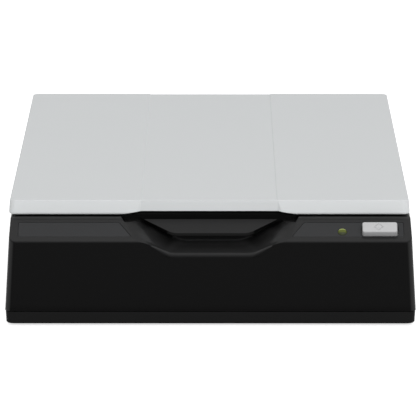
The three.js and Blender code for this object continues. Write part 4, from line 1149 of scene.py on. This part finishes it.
# Light. A pipe of tinted acrylic, moulded in one, with a low dome that stands out of the film and a collar
# behind the panel. Its glow is that of the lit light, but only where the dome faces up the slope, a painted
# highlight; its foot is dark, a painted shade where the dome faces down the slope.
lens_green = moulded(
    "lens_green",
    (0.08, 0.095, 0.02),
    0.3,
    {"Grain Depth": 0, "Mottle": 0.1, "Rub": 0},
    IOR=1.49,
    Specular_IOR_Level=0.1,
    Emission_Strength=0.46,
)
tree = lens_green.node_tree
facing = wire(tree, "ShaderNodeTexCoord").outputs["Normal"]
up_slope = (0, math.cos(slope_turn), math.sin(slope_turn))
raised = wire(tree, "ShaderNodeVectorMath", {"operation": "DOT_PRODUCT", 1: up_slope}, _0=facing)


def along_dome(start, end, low_colour, high_colour):
    ramp = {"interpolation_type": "SMOOTHSTEP", "From Min": start, "From Max": end}
    share = wire(tree, "ShaderNodeMapRange", ramp, Value=raised.outputs["Value"]).outputs[0]
    colours = {"data_type": "RGBA", 6: (*low_colour, 1), 7: (*high_colour, 1)}
    return wire(tree, "ShaderNodeMix", colours, _0=share).outputs[2]


# The glow's crescent is a painted highlight, and the darker tint below it is painted shade
glow = along_dome(0.16, 0.42, (0.04, 0.05, 0.004), (0.86, 1, 0.33))
painted_dome_shade = along_dome(-0.5, -0.05, (0.03, 0.032, 0.03), (0.08, 0.095, 0.02))
skin = next(node for node in tree.nodes if node.type == "GROUP")
tree.links.new(glow, tree.nodes["Principled BSDF"].inputs["Emission Color"])
tree.links.new(painted_dome_shade, skin.inputs["Colour"])
collar = 0.0006
pipe_foot = -0.0069
dome_height = 0.0008
dome_steps = 10
pipe_profile = [
    (0, pipe_foot),
    (light_radius, pipe_foot),
    (light_radius, flange_top - collar),
    (light_radius + collar, flange_top - collar),
    (light_radius + collar, flange_top),
    (light_radius, flange_top),
]
for step in range(dome_steps + 1):
    turn = step / dome_steps * math.pi / 2
    pipe_profile.append((light_radius * math.cos(turn), dome_height * math.sin(turn)))
pipe_profile[-1] = (0, dome_height)
pipe = turned(pipe_profile, (light_across, light_up, 0), 40)
finished("light_lens", on_panel(pipe), lens_green, "case", "light_pipe", smooth=40)

# Platen glass. Two millimetres of float glass, cut to size and bonded under the deck. It is clear, with the
# faint green of its iron.
platen = moulded(
    "platen",
    (0.86, 0.94, 0.92),
    0.03,
    {"Grain Depth": 0, "Mottle": 0.01, "Rub": 0},
    Transmission_Weight=1,
    IOR=1.5,
)
dress("platen_glass", platen)

# Reference strip. White film, held between the deck and the rear end of the glass. The sensor reads it
# before each page.
strip_white = moulded("strip_white", (0.82, 0.82, 0.8), 0.6, {"Mottle": 0.02, "Rub": 0})
dress("reference_strip", strip_white)

# Hinge pins. Plain ground steel pins that stay in the lugs of the case; the barrels of the lid turn on
# them.
dress("hinge_pin_left", ground_steel)
dress("hinge_pin_right", ground_steel)

# Lid tray. The dark inner moulding of the lid with its rim and the two hinge barrels, snapped into the
# cover.
tray_grey = moulded(
    "tray_grey", (0.0032, 0.0032, 0.0032), 0.5, {"Mottle": 0.08, "Rub": 0.2}, Specular_IOR_Level=0.1
)
soft_edged("lid_inner", "lid_tray", 0.0003, tray_grey, "lid")

# Grip. A thin moulded tab that lies over the scoop along the slope, with a web and a flange up to the lid.
# Its broad face has the painted sheen of the slope, the edge at its foot has no sheen but a paler painted
# light of its own, and its flange matches the tray.
grip_grey = sheen_painted_material(
    "grip_grey",
    0.0035,
    0.026,
    0.2,
    0.42,
    {"Mottle": 0.08, "Rub": 0.4},
    Specular_IOR_Level=0.005,
    Coat_Roughness=0.12,
)
finger_grip = soft_edged("finger_grip", "lid_grip", 0.00045, grip_grey, "lid", 3)
grip_shift = -0.00033
web_forward = 0.0007
kink_down = 0.0002
foot_forward = 0.0006
web_front = -0.10255
tab_front = web_front - 0.004
tab_under = 0.0005
kink_height = 0.03602
kink_band = 0.0002
kink = Vector((0, -0.10275, kink_height))
for vert in finger_grip.data.vertices:
    vert.co.x += grip_shift
    below = (kink - vert.co).dot(panel_normal)
    if vert.co.y < tab_front and below > tab_under:
        vert.co.y -= foot_forward
    if vert.co.y < web_front and vert.co.z > kink_height - kink_band:
        if vert.co.z < kink_height + kink_band:
            vert.co.z -= kink_down
        vert.co.y -= web_forward
# The tab's foot faces down into shade; its paler colour is painted light
painted_grip_foot = moulded("painted_grip_foot", (0.0115, 0.0115, 0.0115), 0.42, {"Mottle": 0.08}, Specular_IOR_Level=0.01)
finger_grip.data.materials.append(painted_grip_foot)
finger_grip.data.materials.append(tray_grey)
tab_foot = 0.0328
lid_flange_low = 0.0378
for face in finger_grip.data.polygons:
    heights = [finger_grip.data.vertices[index].co.z for index in face.vertices]
    if max(heights) < tab_foot and abs(face.normal.dot(panel_normal)) < 0.5:
        face.material_index = 1
    if min(heights) > lid_flange_low:
        face.material_index = 2

# Document pad. Grey open-cell foam with a white sheet laminated to its face, stuck to the lid tray. It
# presses the page down on the glass.
foam_grey = moulded(
    "foam_grey", (0.16, 0.16, 0.17), 0.95, {"Grain Size": 900, "Grain Depth": 0.0003, "Mottle": 0.3, "Rub": 0}
)
sheet_white = moulded("sheet_white", (0.8, 0.8, 0.78), 0.7, {"Grain Size": 1400, "Mottle": 0.03, "Rub": 0})
soft_edged("pad_block", "pad_foam", 0.0004, foam_grey, "lid")
soft_edged("pad_face", "pad_sheet", 0.0001, sheet_white, "lid")

# Bumpers. Small moulded rubber blocks at the front corners of the lid tray. The closed lid rests on them.
# Their edges are rounded.
soft_edged("bumper_left", "lid_bumper_left", 0.0006, rubber_black, "lid", 3)
soft_edged("bumper_right", "lid_bumper_right", 0.0006, rubber_black, "lid", 3)

# Lid cover. A light grey satin moulding with a soft lower edge, a shallow sunk band down its middle, and
# a slanted face over the scoop.
lid_grey = moulded(
    "lid_grey",
    (0.618, 0.635, 0.641),
    0.55,
    {"Grain Size": 2200, "Grain Depth": 0.000012, "Mottle": 0.025, "Rub": 0.15},
    Specular_IOR_Level=0.28,
)
cover_low, cover_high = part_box("lid_cover")
lid_middle = (cover_low.x + cover_high.x) / 2
lid_half = (cover_high.x - cover_low.x) / 2
top_draw = 0.0004
band_half = 0.0238
band_edge = 0.0003
band_sink = 0.00018
edge_lift = 0.00118
lid_corner = 0.0025
lid_foot_round = 0.0009
lid_top_round = 0.0003
lid_wall = 0.002
inner_corner = 0.0006
skin_depth = 0.0015


def lid_body(inset, low, high, corner, draw):
    bm = bmesh.new()
    bmesh.ops.create_cube(bm, size=2)
    for vert in bm.verts:
        above = vert.co.z > 0
        drawn_in = inset + (draw if above else 0)
        across = lid_middle + math.copysign(lid_half - drawn_in, vert.co.x)
        along = (cover_high.y - drawn_in) if vert.co.y > 0 else (cover_low.y + drawn_in)
        vert.co = (across, along, high if above else low)
    rounded(bm, corner, 8, upright)
    return bm


def levelled(levels, front, backs, back_reach=None):
    bm = bmesh.new()
    bmesh.ops.create_cube(bm, size=2)
    steps = len(levels) - 1
    for step in range(1, steps):
        height = -1 + 2 * step / steps
        bmesh.ops.bisect_plane(bm, geom=all_of(bm), plane_co=(0, 0, height), plane_no=(0, 0, 1))
    for vert in bm.verts:
        step = round((vert.co.z + 1) / 2 * steps)
        reach, height = levels[step]
        along = backs[step] if vert.co.y > 0 else front
        if vert.co.y > 0:
            reach = back_reach or reach
        vert.co = (lid_middle + math.copysign(reach, vert.co.x), along, height)
    return bm


cover = lid_body(0, cover_low.z, cover_high.z, lid_corner, top_draw)
rounded(cover, lid_foot_round, 5, lambda edge: max(vert.co.z for vert in edge.verts) < cover_low.z + 0.00001)
rounded(cover, lid_top_round, 4, above(cover_high.z))

# The slanted face over the scoop, and the raised lower edge below it: half widths from the foot to the head
facet_foot = cover_low.z + edge_lift
facet_halves = (0.0275, 0.0272, 0.0255)
facet_heights = (facet_foot - overrun, facet_foot, cover_high.z + overrun)
facet_depths = (0.0009, 0.0008, 0.0003)
facet_back_half = 0.0243
facet_backs = [cover_low.y + depth for depth in facet_depths]
facet = levelled(
    list(zip(facet_halves, facet_heights)), cover_low.y - overrun / 2, facet_backs, facet_back_half
)
lift_halves = (0.0341, 0.0316, 0.0244)
lift_heights = (cover_low.z - overrun, cover_low.z, facet_foot)
lift_back = cover_low.y + 0.003
lift = levelled(list(zip(lift_halves, lift_heights)), cover_low.y - overrun, [lift_back] * 3)
cover = carved(cover, facet, lift)
for side in (-1, 1):
    for reach in (band_half, band_half + band_edge / 2, band_half + band_edge):
        bmesh.ops.bisect_plane(
            cover, geom=all_of(cover), plane_co=(lid_middle + side * reach, 0, 0), plane_no=(1, 0, 0)
        )
for vert in cover.verts:
    if vert.co.z > cover_high.z - skin_depth:
        inward = spread(band_half + band_edge - abs(vert.co.x - lid_middle), 0, band_edge)
        vert.co.z -= band_sink * inward * spread(vert.co.z, cover_high.z - skin_depth, cover_high.z)

# The room inside the cover, less the wall that is left behind the slanted face
inner_space = lid_body(lid_wall, cover_low.z - overrun, cover_high.z - lid_wall, inner_corner, 0)
facet_wall_half = 0.0345
facet_wall_back = cover_low.y + 0.0022
facet_wall_foot = facet_foot + 0.0002
facet_wall = block(
    (scoop_centre - facet_wall_half, cover_low.y, facet_wall_foot),
    (scoop_centre + facet_wall_half, facet_wall_back, cover_high.z),
)
cover = carved(cover, carved(inner_space, facet_wall))
finished("lid_shell", cover, lid_grey, "lid", "lid_cover", smooth=30)

# Studio. A white table under a soft lamp above and another in front. The camera sees the table and the room
# a little brighter than the scanner does, and the table keeps the scanner's shadow.
floor_mesh = bpy.data.meshes.new("table")
table = bmesh.new()
bmesh.ops.create_grid(table, x_segments=1, y_segments=1, size=6)
table.to_mesh(floor_mesh)
table.free()
floor = bpy.data.objects.new("table", floor_mesh)
scene.collection.objects.link(floor)
table_white = bpy.data.materials.new("table_white")
table_white.use_nodes = True
tree = table_white.node_tree
tree.nodes["Principled BSDF"].inputs["Base Color"].default_value = (0.86, 0.86, 0.86, 1)
tree.nodes["Principled BSDF"].inputs["Roughness"].default_value = 0.9
tree.nodes["Principled BSDF"].inputs["Specular IOR Level"].default_value = 0
table_glow = 0.7


def in_sight(tree):
    ray = wire(tree, "ShaderNodeLightPath").outputs
    greater = {"operation": "MAXIMUM"}
    seen = wire(tree, "ShaderNodeMath", greater, _0=ray["Is Camera Ray"], _1=ray["Is Glossy Ray"]).outputs[0]
    return wire(tree, "ShaderNodeMath", greater, _0=seen, _1=ray["Is Transmission Ray"]).outputs[0]


glow = wire(tree, "ShaderNodeMath", {"operation": "MULTIPLY", 1: table_glow}, _0=in_sight(tree))
tree.nodes["Principled BSDF"].inputs["Emission Color"].default_value = (1, 1, 1, 1)
tree.links.new(glow.outputs[0], tree.nodes["Principled BSDF"].inputs["Emission Strength"])
floor_mesh.materials.append(table_white)

world = bpy.data.worlds.new("studio")
world.use_nodes = True
scene.world = world
tree = world.node_tree
background = tree.nodes["Background"]
background.inputs["Color"].default_value = (1, 1, 1, 1)
room_light = {"From Min": 0, "From Max": 1, "To Min": 0.55, "To Max": 1}
strength = wire(tree, "ShaderNodeMapRange", room_light, Value=in_sight(tree))
tree.links.new(strength.outputs[0], background.inputs["Strength"])


def soft_lamp(name, place, aim, size, power):
    data = bpy.data.lights.new(name, "AREA")
    data.shape = "RECTANGLE"
    data.size, data.size_y = size
    data.energy = power
    lamp = bpy.data.objects.new(name, data)
    lamp.location = place
    lamp.rotation_euler = (Vector(aim) - Vector(place)).to_track_quat("-Z", "Y").to_euler()
    scene.collection.objects.link(lamp)


soft_lamp("overhead_softbox", (0, -0.2, 1.6), (0, 0, 0), (1.8, 1.4), 6.85)
soft_lamp("front_softbox", (0.5, -1.8, 0.75), (0, 0, 0.02), (2.2, 1.2), 20)
